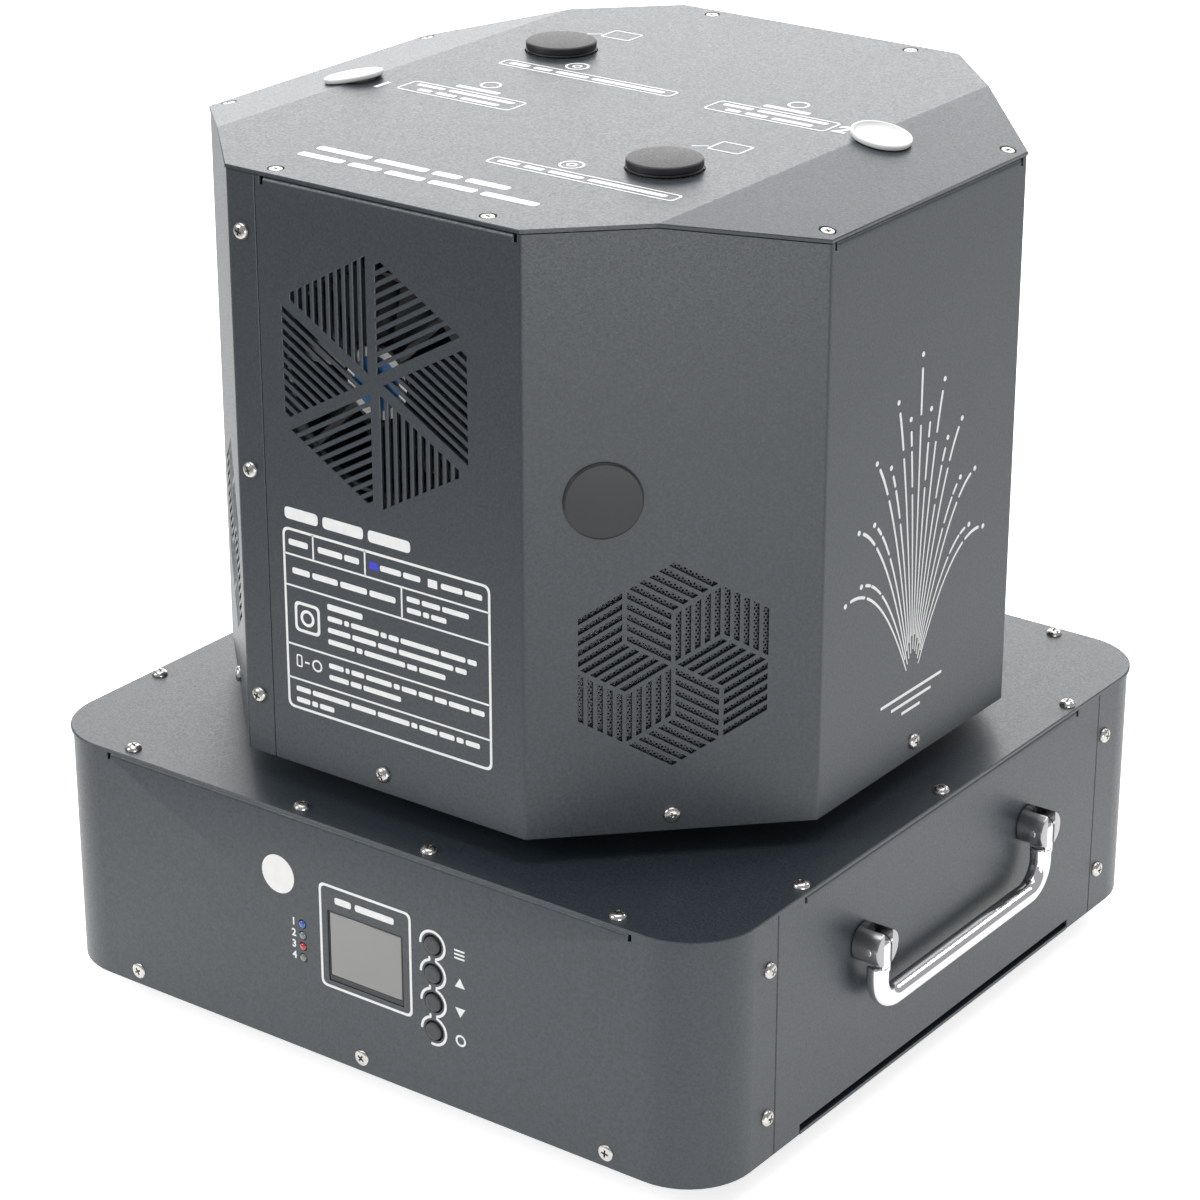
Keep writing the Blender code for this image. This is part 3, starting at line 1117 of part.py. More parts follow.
def make_spark_unit(label, turned):
    """One unit: hopper with its feed tube, cap, feed screw and its motor, heated barrel and nozzle cover."""
    place = half_turn(turned)
    feed, reach = feed_frame()
    feed = place @ feed
    barrel = place @ barrel_frame()
    fill = place @ Matrix.Translation((FILL_X, FILL_Y, 0))

    neck_top = HEAD_TOP
    shoulder, body_low = neck_top - HOPPER_SHOULDER, FEED_Z + HOPPER_CONE
    throat_top = FEED_Z + THROAT_HEIGHT
    wall = HOPPER_WALL
    throat = FEED_BORE_RADIUS - 1
    outside = [(0, FEED_Z), (throat, FEED_Z), (throat + 2, throat_top),
               (HOPPER_RADIUS, body_low), (HOPPER_RADIUS, shoulder - 6), (FILL_CAP_RADIUS, shoulder),
               (FILL_CAP_RADIUS, neck_top), (0, neck_top)]
    inside = [(0, FEED_Z + 1), (throat - wall, FEED_Z + 1), (throat + 2 - wall, throat_top),
              (HOPPER_RADIUS - wall, body_low), (HOPPER_RADIUS - wall, shoulder - 7),
              (NECK_BORE_RADIUS, shoulder - 1), (NECK_BORE_RADIUS, neck_top + 5), (0, neck_top + 5)]
    hopper = turned_solid("granule_hopper_" + label, outside, "aluminium", fill, 20)
    tube = rod_solid("feed_tube", FEED_TUBE_RADIUS, -FEED_TAIL, reach, "aluminium", feed, 16)
    cavity = turned_solid("hopper_cavity", inside, "aluminium", fill, 20, helper=True)
    bore = rod_solid("feed_bore", FEED_BORE_RADIUS, -FEED_TAIL - 5, reach + 5, "aluminium", feed, 16)
    heater_low = -HEAD_SHEET - NOZZLE_LENGTH - HEATER_LENGTH
    heater_room = rod_solid("heater_room", HEATER_RADIUS + GAP, heater_low - HEATER_END,
                            heater_low + HEATER_LENGTH + HEATER_END, "aluminium", barrel, 24)
    carry_out(hopper, tube, "UNION", "MANIFOLD")
    for cutter in (cavity, bore, heater_room):
        carry_out(hopper, cutter, "DIFFERENCE", "MANIFOLD")

    skirt = NECK_BORE_RADIUS - RUNNING_GAP
    cap_low, cap_top = HEAD_TOP + GAP, HEAD_TOP + GAP + FILL_CAP_HEIGHT
    seam = FILL_CAP_RADIUS - CAP_SEAM
    cap = [(0, cap_low - CAP_SKIRT), (skirt, cap_low - CAP_SKIRT), (skirt, cap_low), (seam, cap_low),
           (seam, cap_low + 0.8), (FILL_CAP_RADIUS, cap_low + 1.2), (FILL_CAP_RADIUS, cap_top - 1),
           (FILL_CAP_RADIUS - 1, cap_top), (0, cap_top)]
    turned_solid("fill_cap_" + label, cap, "black_rubber", fill, 18, origin=fill @ Vector((0, 0, cap_low)))

    bore_low = heater_low + HEATER_END
    top = -HEAD_SHEET + GAP
    profile = [(0, heater_low), (HEATER_RADIUS, heater_low), (HEATER_RADIUS, heater_low + HEATER_LENGTH),
               (NOZZLE_RADIUS, heater_low + HEATER_LENGTH), (NOZZLE_RADIUS, top), (NOZZLE_BORE_RADIUS, top),
               (NOZZLE_BORE_RADIUS, bore_low), (0, bore_low)]
    heated = turned_solid("nozzle_barrel_" + label, profile, "steel", barrel, 20)
    inlet_start = reach - HEATER_RADIUS - INLET_DEPTH
    inlet = rod_solid("granule_inlet", INLET_RADIUS, inlet_start, reach, "steel", feed, 12)
    carry_out(heated, inlet, "DIFFERENCE")

    rim = COVER_RADIUS
    plug = NOZZLE_BORE_RADIUS - RUNNING_GAP
    cover_top, dish = GAP + COVER_HEIGHT, GAP + COVER_DISH
    cover = [(0, -COVER_PLUG), (plug, -COVER_PLUG), (plug, GAP), (rim - 0.4, GAP), (rim, GAP + 0.5),
             (rim, cover_top - 0.4), (rim - 0.5, cover_top), (rim - 1.4, cover_top), (rim - 1.7, dish),
             (0, dish)]
    turned_solid("nozzle_cover_" + label, cover, "white_silicone", barrel, 18, origin=barrel.translation)

    screw_end = reach - HEATER_RADIUS - SCREW_END_GAP
    points, faces = screw_mesh(-SCREW_START, screw_end, -FEED_TAIL)
    make_solid("feed_screw_" + label, points, faces, "steel", feed, feed.translation)
    motor_face = -FEED_TAIL - GAP
    motor_end, gearbox_end = motor_face - FEED_MOTOR_LENGTH, motor_face - GEARBOX_LENGTH
    motor = [(0, motor_end), (FEED_MOTOR_RADIUS - 1, motor_end), (FEED_MOTOR_RADIUS, motor_end + 1),
             (FEED_MOTOR_RADIUS, gearbox_end), (GEARBOX_RADIUS, gearbox_end), (GEARBOX_RADIUS, motor_face),
             (0, motor_face)]
    turned_solid("feed_motor_" + label, motor, "zinc_plate", feed, 16)


def screw_mesh(start, end, shaft_start):
    """A single-start screw: a lobed cross-section that turns as it goes along, on a plain shaft end."""
    lobe = [(SCREW_RADIUS, -18), (SCREW_RADIUS, 18), (SCREW_CORE_RADIUS, 60), (SCREW_CORE_RADIUS, 120),
            (SCREW_CORE_RADIUS, 180), (SCREW_CORE_RADIUS, 240), (SCREW_CORE_RADIUS, 300)]
    sides = len(lobe)
    steps = int((end - start) / SCREW_PITCH * 6)
    rings = [(shaft_start, 0, True), (start - 0.2, 0, True)]
    rings += [(start + (end - start) * step / steps, 360 * (end - start) / SCREW_PITCH * step / steps, False)
              for step in range(steps + 1)]
    points, faces = [], []
    for z, twist, plain in rings:
        for radius, angle in lobe:
            turn = math.radians(angle + twist)
            reach = SCREW_CORE_RADIUS if plain else radius
            points.append((reach * math.cos(turn), reach * math.sin(turn), z))
    for ring in range(len(rings) - 1):
        for side in range(sides):
            a, b = ring * sides + side, ring * sides + (side + 1) % sides
            faces += [(a, b, b + sides), (a, b + sides, a + sides)]
    faces.append(tuple(reversed(range(sides))))
    faces.append(tuple(range((len(rings) - 1) * sides, len(rings) * sides)))
    return points, faces


def make_fan(label, turned):
    """A square fan behind a grille: a frame with struts and a middle disc, and the bladed wheel in it."""
    face_y = -HEAD_HALF_WIDTH + HEAD_SHEET + GAP
    place = half_turn(turned) @ axis_frame((0, face_y, GRILLE_Z), (0, -1, 0))
    half = FAN_SIZE / 2
    corner = rounded_rectangle(half, half, FAN_CORNER_RADIUS, 2)
    loops = [[(x, y, 0) for x, y in loop] for loop in (corner, circle(0, 0, FAN_BORE_RADIUS, 28))]
    frame = sheet_solid("fan_frame_" + label, [loops], FAN_DEPTH, "black_plastic", place)
    reach = FAN_BORE_RADIUS + 1
    wide = STRUT_HALF_WIDTH
    struts = [((-reach, -wide, -FAN_STRUT_DEPTH), (reach, wide, -0.5)),
              ((-wide, -reach, -FAN_STRUT_DEPTH + 0.01), (wide, reach, -0.51))]
    for step, strut in enumerate(struts):
        carry_out(frame, box_solid(f"strut_{step}", [strut], "black_plastic", place, helper=True), "UNION")
    disc = rod_solid("fan_disc", FAN_HUB_RADIUS, -FAN_STRUT_DEPTH - 0.2, -0.2, "black_plastic", place, 20)
    carry_out(frame, disc, "UNION")

    hub_front = -FAN_STRUT_DEPTH - 0.2 - GAP
    hub_back = -FAN_DEPTH + 3
    hub = [(0, hub_back), (FAN_HUB_RADIUS, hub_back), (FAN_HUB_RADIUS, hub_front), (0, hub_front)]
    wheel = turned_solid("fan_wheel_" + label, hub, "black_plastic", place, 14, origin=place.translation)
    points, faces = [], []
    inner, outer = FAN_HUB_RADIUS - BLADE_CLEARANCE, FAN_BORE_RADIUS - BLADE_CLEARANCE
    for blade in range(FAN_BLADES):
        turn = 2 * math.pi * blade / FAN_BLADES
        start = len(points)
        for radius, sweep in zip((inner, outer), BLADE_SWEEP):
            for angle, z in ((-sweep, hub_back + 1), (sweep, hub_front - 1)):
                for thick in (-BLADE_HALF_THICKNESS, BLADE_HALF_THICKNESS):
                    at = turn + math.radians(angle)
                    across = thick / radius
                    points.append((radius * math.cos(at + across), radius * math.sin(at + across), z))
        quads = ((0, 1, 3, 2), (4, 6, 7, 5), (0, 2, 6, 4), (1, 5, 7, 3), (0, 4, 5, 1), (2, 3, 7, 6))
        faces += [tuple(start + corner for corner in quad) for quad in quads]
    blades = make_solid("fan_blades", points, faces, "black_plastic", place, helper=True, smooth=False)
    outward(blades)
    carry_out(wheel, blades, "UNION")


def outward(obj):
    """Turns the faces of a helper's mesh outward."""
    mesh = bmesh.new()
    mesh.from_mesh(obj.data)
    bmesh.ops.recalc_face_normals(mesh, faces=mesh.faces)
    mesh.to_mesh(obj.data)
    mesh.free()


def make_plug():
    """The push-in blanking plug in the front right corner face."""
    half, face = HEAD_HALF_WIDTH, HEAD_FACE_HALF
    wall = WallFace((face, -half), (half, -face))
    middle = wall.point(wall.width / 2 + PLUG_OFFSET, HEAD_TOP - PLUG_BELOW_TOP)
    shank = PLUG_HOLE_RADIUS - RUNNING_GAP
    profile = [(0, -5), (shank, -5), (shank, GAP), (PLUG_RADIUS, GAP), (PLUG_RADIUS, GAP + 0.5),
               (PLUG_RADIUS - 0.7, GAP + 1.0), (0, GAP + 1.0)]
    turned_solid("corner_plug", profile, "black_plastic", axis_frame(middle, -wall.inward), 24)


def add_head_axis():
    """An empty on the head's axis that carries every piece of the head and its spindle."""
    axis = bpy.data.objects.new("head_axis", None)
    axis.location = (0, 0, HEAD_BOTTOM * MM)
    bpy.context.scene.collection.objects.link(axis)
    prefixes = ("head_", "granule_", "fill_cap", "feed_", "nozzle_", "fan_", "corner_plug")
    for obj in list(bpy.data.objects):
        if obj.type == "MESH" and not obj.hide_render and obj.name.startswith(prefixes):
            hang_on(obj, axis)


def build():
    clear_scene()
    base_shell("base_front_shell", -1, front_holes())
    base_shell("base_rear_shell", 1, rear_holes())
    make_base_pan()
    make_base_lid()
    make_side_panels()
    make_feet()
    make_handles()
    make_front_controls()
    make_rear_sockets()
    make_power_switch()
    make_drive()
    make_head_shells()
    make_head_floor()
    make_top_plate()
    make_plug()
    for label, turned in (("right", False), ("left", True)):
        make_spark_unit(label, turned)
    for label, turned in (("front", False), ("rear", True)):
        make_fan(label, turned)
    add_head_axis()


build()
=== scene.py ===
"""The looks of a rotating spark machine: fine surfaces, finishes, prints, light and camera.

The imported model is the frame, and every piece here rides on one of its bodies. Lengths are written in
millimetres and turned into metres when an object is made. The display looks along -Y, the handles are on
the +X and -X sides, and the floor is at height 0.
"""

import math

import bmesh
import bpy
from mathutils import Matrix, Vector
from mathutils.geometry import delaunay_2d_cdt


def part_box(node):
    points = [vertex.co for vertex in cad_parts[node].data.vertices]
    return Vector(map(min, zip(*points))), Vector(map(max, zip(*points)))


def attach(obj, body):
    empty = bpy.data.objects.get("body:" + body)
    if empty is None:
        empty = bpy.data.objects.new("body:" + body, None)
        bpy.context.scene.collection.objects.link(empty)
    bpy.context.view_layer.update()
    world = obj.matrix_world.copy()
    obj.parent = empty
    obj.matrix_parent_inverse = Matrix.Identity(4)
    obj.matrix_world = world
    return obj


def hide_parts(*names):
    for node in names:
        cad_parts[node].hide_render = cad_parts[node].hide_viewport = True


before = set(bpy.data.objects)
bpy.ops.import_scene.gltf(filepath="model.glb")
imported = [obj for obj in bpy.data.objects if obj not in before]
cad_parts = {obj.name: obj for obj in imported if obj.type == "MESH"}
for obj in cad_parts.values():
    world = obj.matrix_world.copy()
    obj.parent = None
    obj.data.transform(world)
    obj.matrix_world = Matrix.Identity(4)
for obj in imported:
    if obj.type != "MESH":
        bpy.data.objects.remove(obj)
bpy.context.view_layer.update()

MM = 0.001


def box_mm(node):
    """A node's lowest and highest corners in millimetres."""
    low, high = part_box(node)
    return Vector(low) / MM, Vector(high) / MM


def middle_mm(node):
    low, high = box_mm(node)
    return (low + high) / 2


def new_object(name, data):
    """An object of the scene."""
    obj = bpy.data.objects.new(name, data)
    bpy.context.scene.collection.objects.link(obj)
    return obj


# Sheets and gaps
SHEET = 1.5
GAP = 0.3
BEHIND = SHEET + GAP
EDGE = 0.3

# Base case. What the frame's nodes show is read from them.
SHELL_LOW, SHELL_HIGH = box_mm("base_front_shell")
LID_HIGH = box_mm("base_lid")[1]
BASE_X = SHELL_HIGH.x
BASE_Y = -SHELL_LOW.y
BASE_LOW = SHELL_LOW.z
BASE_TOP = LID_HIGH.z
WALL_TOP = SHELL_HIGH.z
SEAM_Y = -SHELL_HIGH.y
CORNER = 29.5
FRONT_FOLD_X = 134.0
SIDE_FOLD_Y = 105.5
FOLD_RADIUS = 2.0
FLANGE = 12.0
NOTCH = 1.5
PAN_SLOT_TOP = BASE_LOW + SHEET + 3.0
LID_BORE = 43.4
LID_SCREWS = [(sx * x, sy * 164.4) for x in (124, 32.5) for sx in (-1, 1) for sy in (-1, 1)]
LID_SCREWS += [(sx * 166, y) for y in (-102.5, 0, 102.5) for sx in (-1, 1)]
LOW_SCREWS_X = (-122.5, 0, 122.5)
LOW_SCREWS_Z = BASE_LOW + 6.5
SIDE_SCREWS = [(y, BASE_LOW + z) for y in (-129.5, 129.5) for z in (19.5, 84.5)]
SOCKETS = ("power_inlet", "power_outlet", "dmx_input", "dmx_output")
SOCKET_HOLE = 12.3

# Front panel. The keys and the window are where their nodes are.
PANEL_Y = -BASE_Y
KEY_NAMES = ("menu", "up", "down", "enter")
KEYS = [middle_mm("button_" + name) for name in KEY_NAMES]
KEY_RADIUS = 3.8
KEY_HOLE_GAP = 0.6
WINDOW_LOW, WINDOW_HIGH = box_mm("display_window")
WINDOW_MIDDLE = (WINDOW_LOW + WINDOW_HIGH) / 2
WINDOW_SIZE = WINDOW_HIGH - WINDOW_LOW
LIGHT_X = -29.6
LIGHT_TOP = BASE_LOW + 58.25
LIGHT_PITCH = 5.1
LIGHT_RADIUS = 1.7
LIGHT_COLOURS = ((0.02, 0.09, 0.36), (0.17, 0.175, 0.165), (0.40, 0.012, 0.018), (0.17, 0.175, 0.165))

# Head case. What the frame's nodes show is read from them.
HEAD_LOW, HEAD_HIGH = box_mm("head_shell_front_right")
PLATE_HIGH = box_mm("head_top_plate")[1]
HEAD_HALF = HEAD_HIGH.x
FACE_HALF = 70.5
STRIP = 13.8
HEAD_BOTTOM = HEAD_LOW.z
HEAD_TOP = PLATE_HIGH.z
TOP_FOLD_X = 106.5
TOP_SLOPE = math.tan(math.radians(11.5))
BEND_RADIUS = 2.2
GRILLE_Z = middle_mm("fan_frame_front").z
GRILLE_RADIUS = 52.0
GRILLE_PITCH = 3.95
GRILLE_SLOT = 2.05
GRILLE_SPOKE = 1.9
GRILLE_SLOTS = 11
PERFORATED_Z = BASE_LOW + 189.5
PERFORATED_RADIUS = 43.5
PLUG_U = -27.0
PLUG_Z = HEAD_TOP - 107.0
PLUG_HOLE = 14.3
CAPS = [middle_mm("fill_cap_right"), middle_mm("fill_cap_left")]
CAP_RADIUS = 15.0
NOZZLES = [Vector((111.0, 27.0)), Vector((-111.0, -27.0))]
TOP_SCREWS = ((-51, -145.5), (51, -145.5), (-51, 145.5), (51, 145.5))
FLAP_SCREWS = ((146.5, -65), (146.5, 65), (-146.5, 65), (-146.5, -65))
FLUSH_HOLE = 3.25
NOZZLE_HOLE = 9.4
DIAGONAL = (HEAD_HALF + FACE_HALF) / 2
# A head shell's screws: where they stand, which way they point, and their height.
HEAD_SCREWS = [((-63.8, -HEAD_HALF), (0, -1), BASE_LOW + z) for z in (144.6, 242, 340)]
HEAD_SCREWS += [((0, -HEAD_HALF), (0, -1), BASE_LOW + 127), ((DIAGONAL, -DIAGONAL), (1, -1), BASE_LOW + 126),
                ((HEAD_HALF, 0), (1, 0), BASE_LOW + 126.2), ((DIAGONAL, DIAGONAL), (1, 1), BASE_LOW + 126)]


# Finishes


def set_inputs(node, values):
    """Sets inputs of a shader node by their names."""
    for name, value in values.items():
        node.inputs[name].default_value = value


def new_material(name):
    """A material with its node tree and its Principled shader."""
    material = bpy.data.materials.new(name)
    material.use_nodes = True
    return material, material.node_tree, shader_of(material)


def shader_of(material):
    return material.node_tree.nodes["Principled BSDF"]


def noise(tree, scale, detail):
    """A noise texture in the piece's own coordinates, its scale in cells per metre."""
    place = tree.nodes.new("ShaderNodeTexCoord")
    texture = tree.nodes.new("ShaderNodeTexNoise")
    set_inputs(texture, {"Scale": scale, "Detail": detail, "Roughness": 0.5})
    tree.links.new(place.outputs["Object"], texture.inputs["Vector"])
    return texture.outputs["Fac"]


def ramp(tree, value, low, high, from_low=0.3, from_high=0.7):
    """A value spread from one range to another."""
    node = tree.nodes.new("ShaderNodeMapRange")
    set_inputs(node, {"From Min": from_low, "From Max": from_high, "To Min": low, "To Max": high})
    tree.links.new(value, node.inputs["Value"])
    return node.outputs["Result"]


def finish(name, colour, roughness, metallic=0.0, mottle=0.06, mottle_mm=40.0, uneven=0.04,
           grain_mm=0.6, relief_mm=0.004, ior=1.5):
    """A Principled material with uneven colour and gloss and a fine relief, all from noise.
    """
    material, tree, shader = new_material(name)
    set_inputs(shader, {"Metallic": metallic, "IOR": ior})
    broad = noise(tree, 1 / (mottle_mm * MM), 3.0)
    mix = tree.nodes.new("ShaderNodeMix")
    mix.data_type = "RGBA"
    for socket, share in (("A", 1 - mottle), ("B", 1 + mottle)):
        mix.inputs[socket].default_value = (*[min(part * share, 1.0) for part in colour], 1.0)
    tree.links.new(ramp(tree, broad, 0.0, 1.0), mix.inputs["Factor"])
    tree.links.new(mix.outputs["Result"], shader.inputs["Base Color"])
    fine = noise(tree, 1 / (grain_mm * MM), 2.0)
    tree.links.new(ramp(tree, fine, roughness - uneven, roughness + uneven), shader.inputs["Roughness"])
    bump = tree.nodes.new("ShaderNodeBump")
    set_inputs(bump, {"Strength": 1.0, "Distance": relief_mm * MM})
    tree.links.new(fine, bump.inputs["Height"])
    tree.links.new(bump.outputs["Normal"], shader.inputs["Normal"])
    return material


def coated(material, weight, roughness):
    """The material under a clear coat."""
    set_inputs(shader_of(material), {"Coat Weight": weight, "Coat Roughness": roughness})
    return material


def cover_finish():
    """Milky silicone that lets a little light into its rim."""
    material = finish("milky_silicone", (0.72, 0.72, 0.715), 0.38, mottle=0.02, grain_mm=0.8,
                      relief_mm=0.003)
    set_inputs(shader_of(material), {"Subsurface Weight": 0.25, "Subsurface Radius": (1.0, 1.0, 1.0),
                                     "Subsurface Scale": 1.5 * MM})
    return material


def light_finish(number, colour):
    """The coloured resin of a status light."""
    return coated(finish(f"status_resin_{number}", colour, 0.12, mottle=0.05, mottle_mm=2.0,
                         uneven=0.03, grain_mm=0.3, relief_mm=0.0005), 1.0, 0.04)


# Charcoal powder coat: a satin face with a fine sandy relief and a slightly blue black.
PAINT = finish("charcoal_powder_coat", (0.0228, 0.0312, 0.0398), 0.40, mottle=0.35,
               mottle_mm=1.1, uneven=0.08, grain_mm=0.9, relief_mm=0.030, ior=1.62)
CHROME = finish("bright_chrome", (0.78, 0.78, 0.80), 0.07, metallic=1.0, mottle=0.02, uneven=0.025,
                grain_mm=1.5, relief_mm=0.0008)
SCREW = finish("stainless_screw", (0.54, 0.525, 0.505), 0.24, metallic=1.0, mottle=0.10,
               mottle_mm=3.0, uneven=0.06, grain_mm=0.4, relief_mm=0.002)
POST = finish("gunmetal_post", (0.36, 0.36, 0.37), 0.22, metallic=1.0, mottle=0.04, mottle_mm=8.0,
              grain_mm=0.5, relief_mm=0.0006)
RUBBER = finish("black_rubber", (0.018, 0.018, 0.020), 0.50, mottle=0.12, mottle_mm=12.0,
                uneven=0.08, grain_mm=0.7, relief_mm=0.008)
PLASTIC = finish("black_plastic", (0.016, 0.017, 0.020), 0.34, uneven=0.05, grain_mm=0.8)
PLUG = finish("plug_plastic", (0.016, 0.018, 0.021), 0.42, mottle=0.05, uneven=0.05,
              grain_mm=0.8)
KEY_PLASTIC = finish("key_plastic", (0.040, 0.042, 0.046), 0.42, mottle=0.05, uneven=0.05,
                     grain_mm=0.5)
INK = finish("white_ink", (0.85, 0.85, 0.85), 0.45, mottle=0.04, mottle_mm=3.0, uneven=0.05,
             grain_mm=0.25)
BLUE_INK = finish("blue_ink", (0.05, 0.05, 0.62), 0.45, mottle_mm=2.0, grain_mm=0.25)
PAPER = finish("sticker_paper", (0.86, 0.855, 0.845), 0.55, mottle=0.03, mottle_mm=5.0,
               grain_mm=0.2)
LABEL_BLUE = finish("hub_label_blue", (0.03, 0.16, 0.42), 0.30, mottle=0.08, mottle_mm=6.0,
                    grain_mm=0.3)
ZINC = finish("zinc_plate", (0.52, 0.53, 0.55), 0.34, metallic=0.9, mottle=0.10, mottle_mm=18.0,
              grain_mm=1.2)
ALUMINIUM = finish("turned_aluminium", (0.60, 0.61, 0.63), 0.30, metallic=1.0, mottle=0.05,
                   grain_mm=0.7, relief_mm=0.003)
STEEL = finish("heat_marked_steel", (0.40, 0.39, 0.38), 0.33, metallic=1.0, mottle=0.16,
               mottle_mm=22.0, grain_mm=0.9)
BOARD = finish("board_green", (0.015, 0.13, 0.05), 0.38, mottle=0.12, mottle_mm=9.0)
# The display's face: plain grey under a clear coat.
GLASS = coated(finish("display_face", (0.235, 0.235, 0.225), 0.22, mottle=0.03, uneven=0.02,
                      grain_mm=0.3, relief_mm=0.0005), 0.6, 0.06)
COVER = cover_finish()


# Mesh making

def vectors(points):
    return [Vector(point) for point in points]


def area(loop):
    return sum(a.x * b.y - b.x * a.y for a, b in zip(loop, loop[1:] + loop[:1])) / 2


def turned_to(loop, sign):
    """The loop as it is or reversed, so that its area has that sign."""
    loop = vectors(loop)
    return loop if area(loop) * sign > 0 else loop[::-1]


def circle(x, y, radius, sides):
    turn = 2 * math.pi / sides
    return [(x + radius * math.cos(turn * step), y + radius * math.sin(turn * step)) for step in range(sides)]


def arc(x, y, radius, start, end, steps):
    """Points on an arc, its angles in degrees."""
    angles = [math.radians(start + (end - start) * step / steps) for step in range(steps + 1)]
    return [(x + radius * math.cos(angle), y + radius * math.sin(angle)) for angle in angles]


def shifted(outline, right, up):
    """The outline moved in its own plane."""
    return [(x + right, y + up) for x, y in outline]


def rectangle(x, y, width, height):
    return [(x + sx * width / 2, y + sy * height / 2) for sx, sy in ((-1, -1), (1, -1), (1, 1), (-1, 1))]


def fillet(points, setback, steps=4, closed=True):
    """The line with rounded corners, each starting a setback before the corner or nearer if it must."""
    points = vectors(points)
    result = []
    for index, here in enumerate(points):
        if not closed and index in (0, len(points) - 1):
            result.append(here)
            continue
        before, after = points[index - 1] - here, points[(index + 1) % len(points)] - here
        reach = min(setback, 0.48 * before.length, 0.48 * after.length)
        start, end = here + before.normalized() * reach, here + after.normalized() * reach
        for step in range(steps + 1):
            t = step / steps
            result.append(start * (1 - t) ** 2 + here * 2 * t * (1 - t) + end * t ** 2)
    return result


def offset_loop(loop, distance):
    """The loop moved to its left, with mitred corners."""
    moved = []
    for before, here, after in zip(loop[-1:] + loop[:-1], loop, loop[1:] + loop[:1]):
        a, b = (here - before).normalized(), (after - here).normalized()
        normal = Vector((-a.y - b.y, a.x + b.x)) / max(1 + a.dot(b), 0.2)
        moved.append(here + normal * distance)
    return moved


def fill_flat(loops, bars):
    """Triangles over an outline with holes, as indices into the loops' points one after another."""
    rings, points = [], []
    for loop in loops:
        ring = list(range(len(points), len(points) + len(loop)))
        rings.append(ring if area(loop) > 0 else ring[::-1])
        points += loop
    inside = 1
    _, _, triangles, sources, _, owners = delaunay_2d_cdt(points, list(bars), rings, inside, 1e-5)
    return [[sources[corner][0] for corner in triangle]
            for triangle, owner in zip(triangles, owners) if owner == [0]]


def cut_loops(loops, cuts_u, folds):
    """The loops with a point wherever a bend line crosses them, and the pairs of points the lines join."""
    lines = [(0, cut, None) for cut in cuts_u] + [(1, cut, fold) for fold in folds for cut in fold.cuts()]
    crossings = [[] for _ in lines]
    result, count = [], 0
    for loop in loops:
        points = []
        for a, b in zip(loop, loop[1:] + loop[:1]):
            points.append(a)
            stops = []
            for number, (axis, cut, fold) in enumerate(lines):
                if (a[axis] - cut) * (b[axis] - cut) < 0:
                    point = a.lerp(b, (cut - a[axis]) / (b[axis] - a[axis]))
                    if fold is None or fold.holds(point.x):
                        stops.append(((point - a).length, number, point))
            for _, number, point in sorted(stops, key=lambda stop: stop[0]):
                crossings[number].append((point[1 - lines[number][0]], count + len(points)))
                points.append(point)
        result.append(points)
        count += len(points)
    bars = []
    for found in crossings:
        indices = [index for _, index in sorted(found)]
        bars += zip(indices[::2], indices[1::2])
    return result, bars


def sheet_mesh(outline, place, thickness=SHEET, edge=EDGE, holes=(), small_holes=(), cuts_u=(), folds=()):
    """Points and faces of a sheet drawn flat in (u, v) and put in place by place(u, v, depth).

    Its outer side is at depth 0. The outline and the holes have a bevelled outer edge, small holes a
    plain one. cuts_u are the bend lines across u, and folds are the folds along its top.
    """
    loops = [turned_to(outline, 1)] + [turned_to(hole, -1) for hole in holes]
    loops, bars = cut_loops(loops, cuts_u, folds)
    small = [turned_to(hole, -1) for hole in small_holes]
    front = [offset_loop(loop, edge) for loop in loops] if edge else loops
    points, faces = [], []

    def level(rings, depth):
        starts = []
        for ring in rings:
            starts.append(len(points))
            points.extend(place(point.x, point.y, depth) for point in ring)
        return starts

    def join(upper, lower, rings):
        for above, below, ring in zip(upper, lower, rings):
            count = len(ring)
            for here in range(count):
                there = (here + 1) % count
                faces.append((above + here, below + here, below + there, above + there))

    top = level(front + small, 0.0)
    faces += [tuple(top[0] + corner for corner in triangle) for triangle in fill_flat(front + small, bars)]
    bottom = level(loops + small, thickness)
    faces += [tuple(bottom[0] + corner for corner in reversed(triangle))
              for triangle in fill_flat(loops + small, bars)]
    if edge:
        rim = level(loops, edge)
        join(top, rim, loops)
        join(rim, bottom, loops)
    else:
        join(top, bottom, loops)
    join(top[len(loops):], bottom[len(loops):], small)
    return points, faces


def add_mesh(into, mesh):
    """Adds points and faces to a (points, faces) pair."""
    points, faces = into
    start = len(points)
    points.extend(mesh[0])
    faces.extend(tuple(start + corner for corner in face) for face in mesh[1])


def moved(mesh, place):
    return [place @ Vector(point) for point in mesh[0]], mesh[1]


def make_piece(name, mesh, material, body, sharp=32, replaces=()):
    """An object from points in millimetres, which rides on a body and may stand for nodes."""
    data = bpy.data.meshes.new(name)
    data.from_pydata([Vector(point) * MM for point in mesh[0]], [], mesh[1])
    data.materials.append(material)
    data.shade_smooth()
    data.set_sharp_from_angle(angle=math.radians(sharp))
    obj = new_object(name, data)
    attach(obj, body)
    if replaces:
        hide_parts(*replaces)


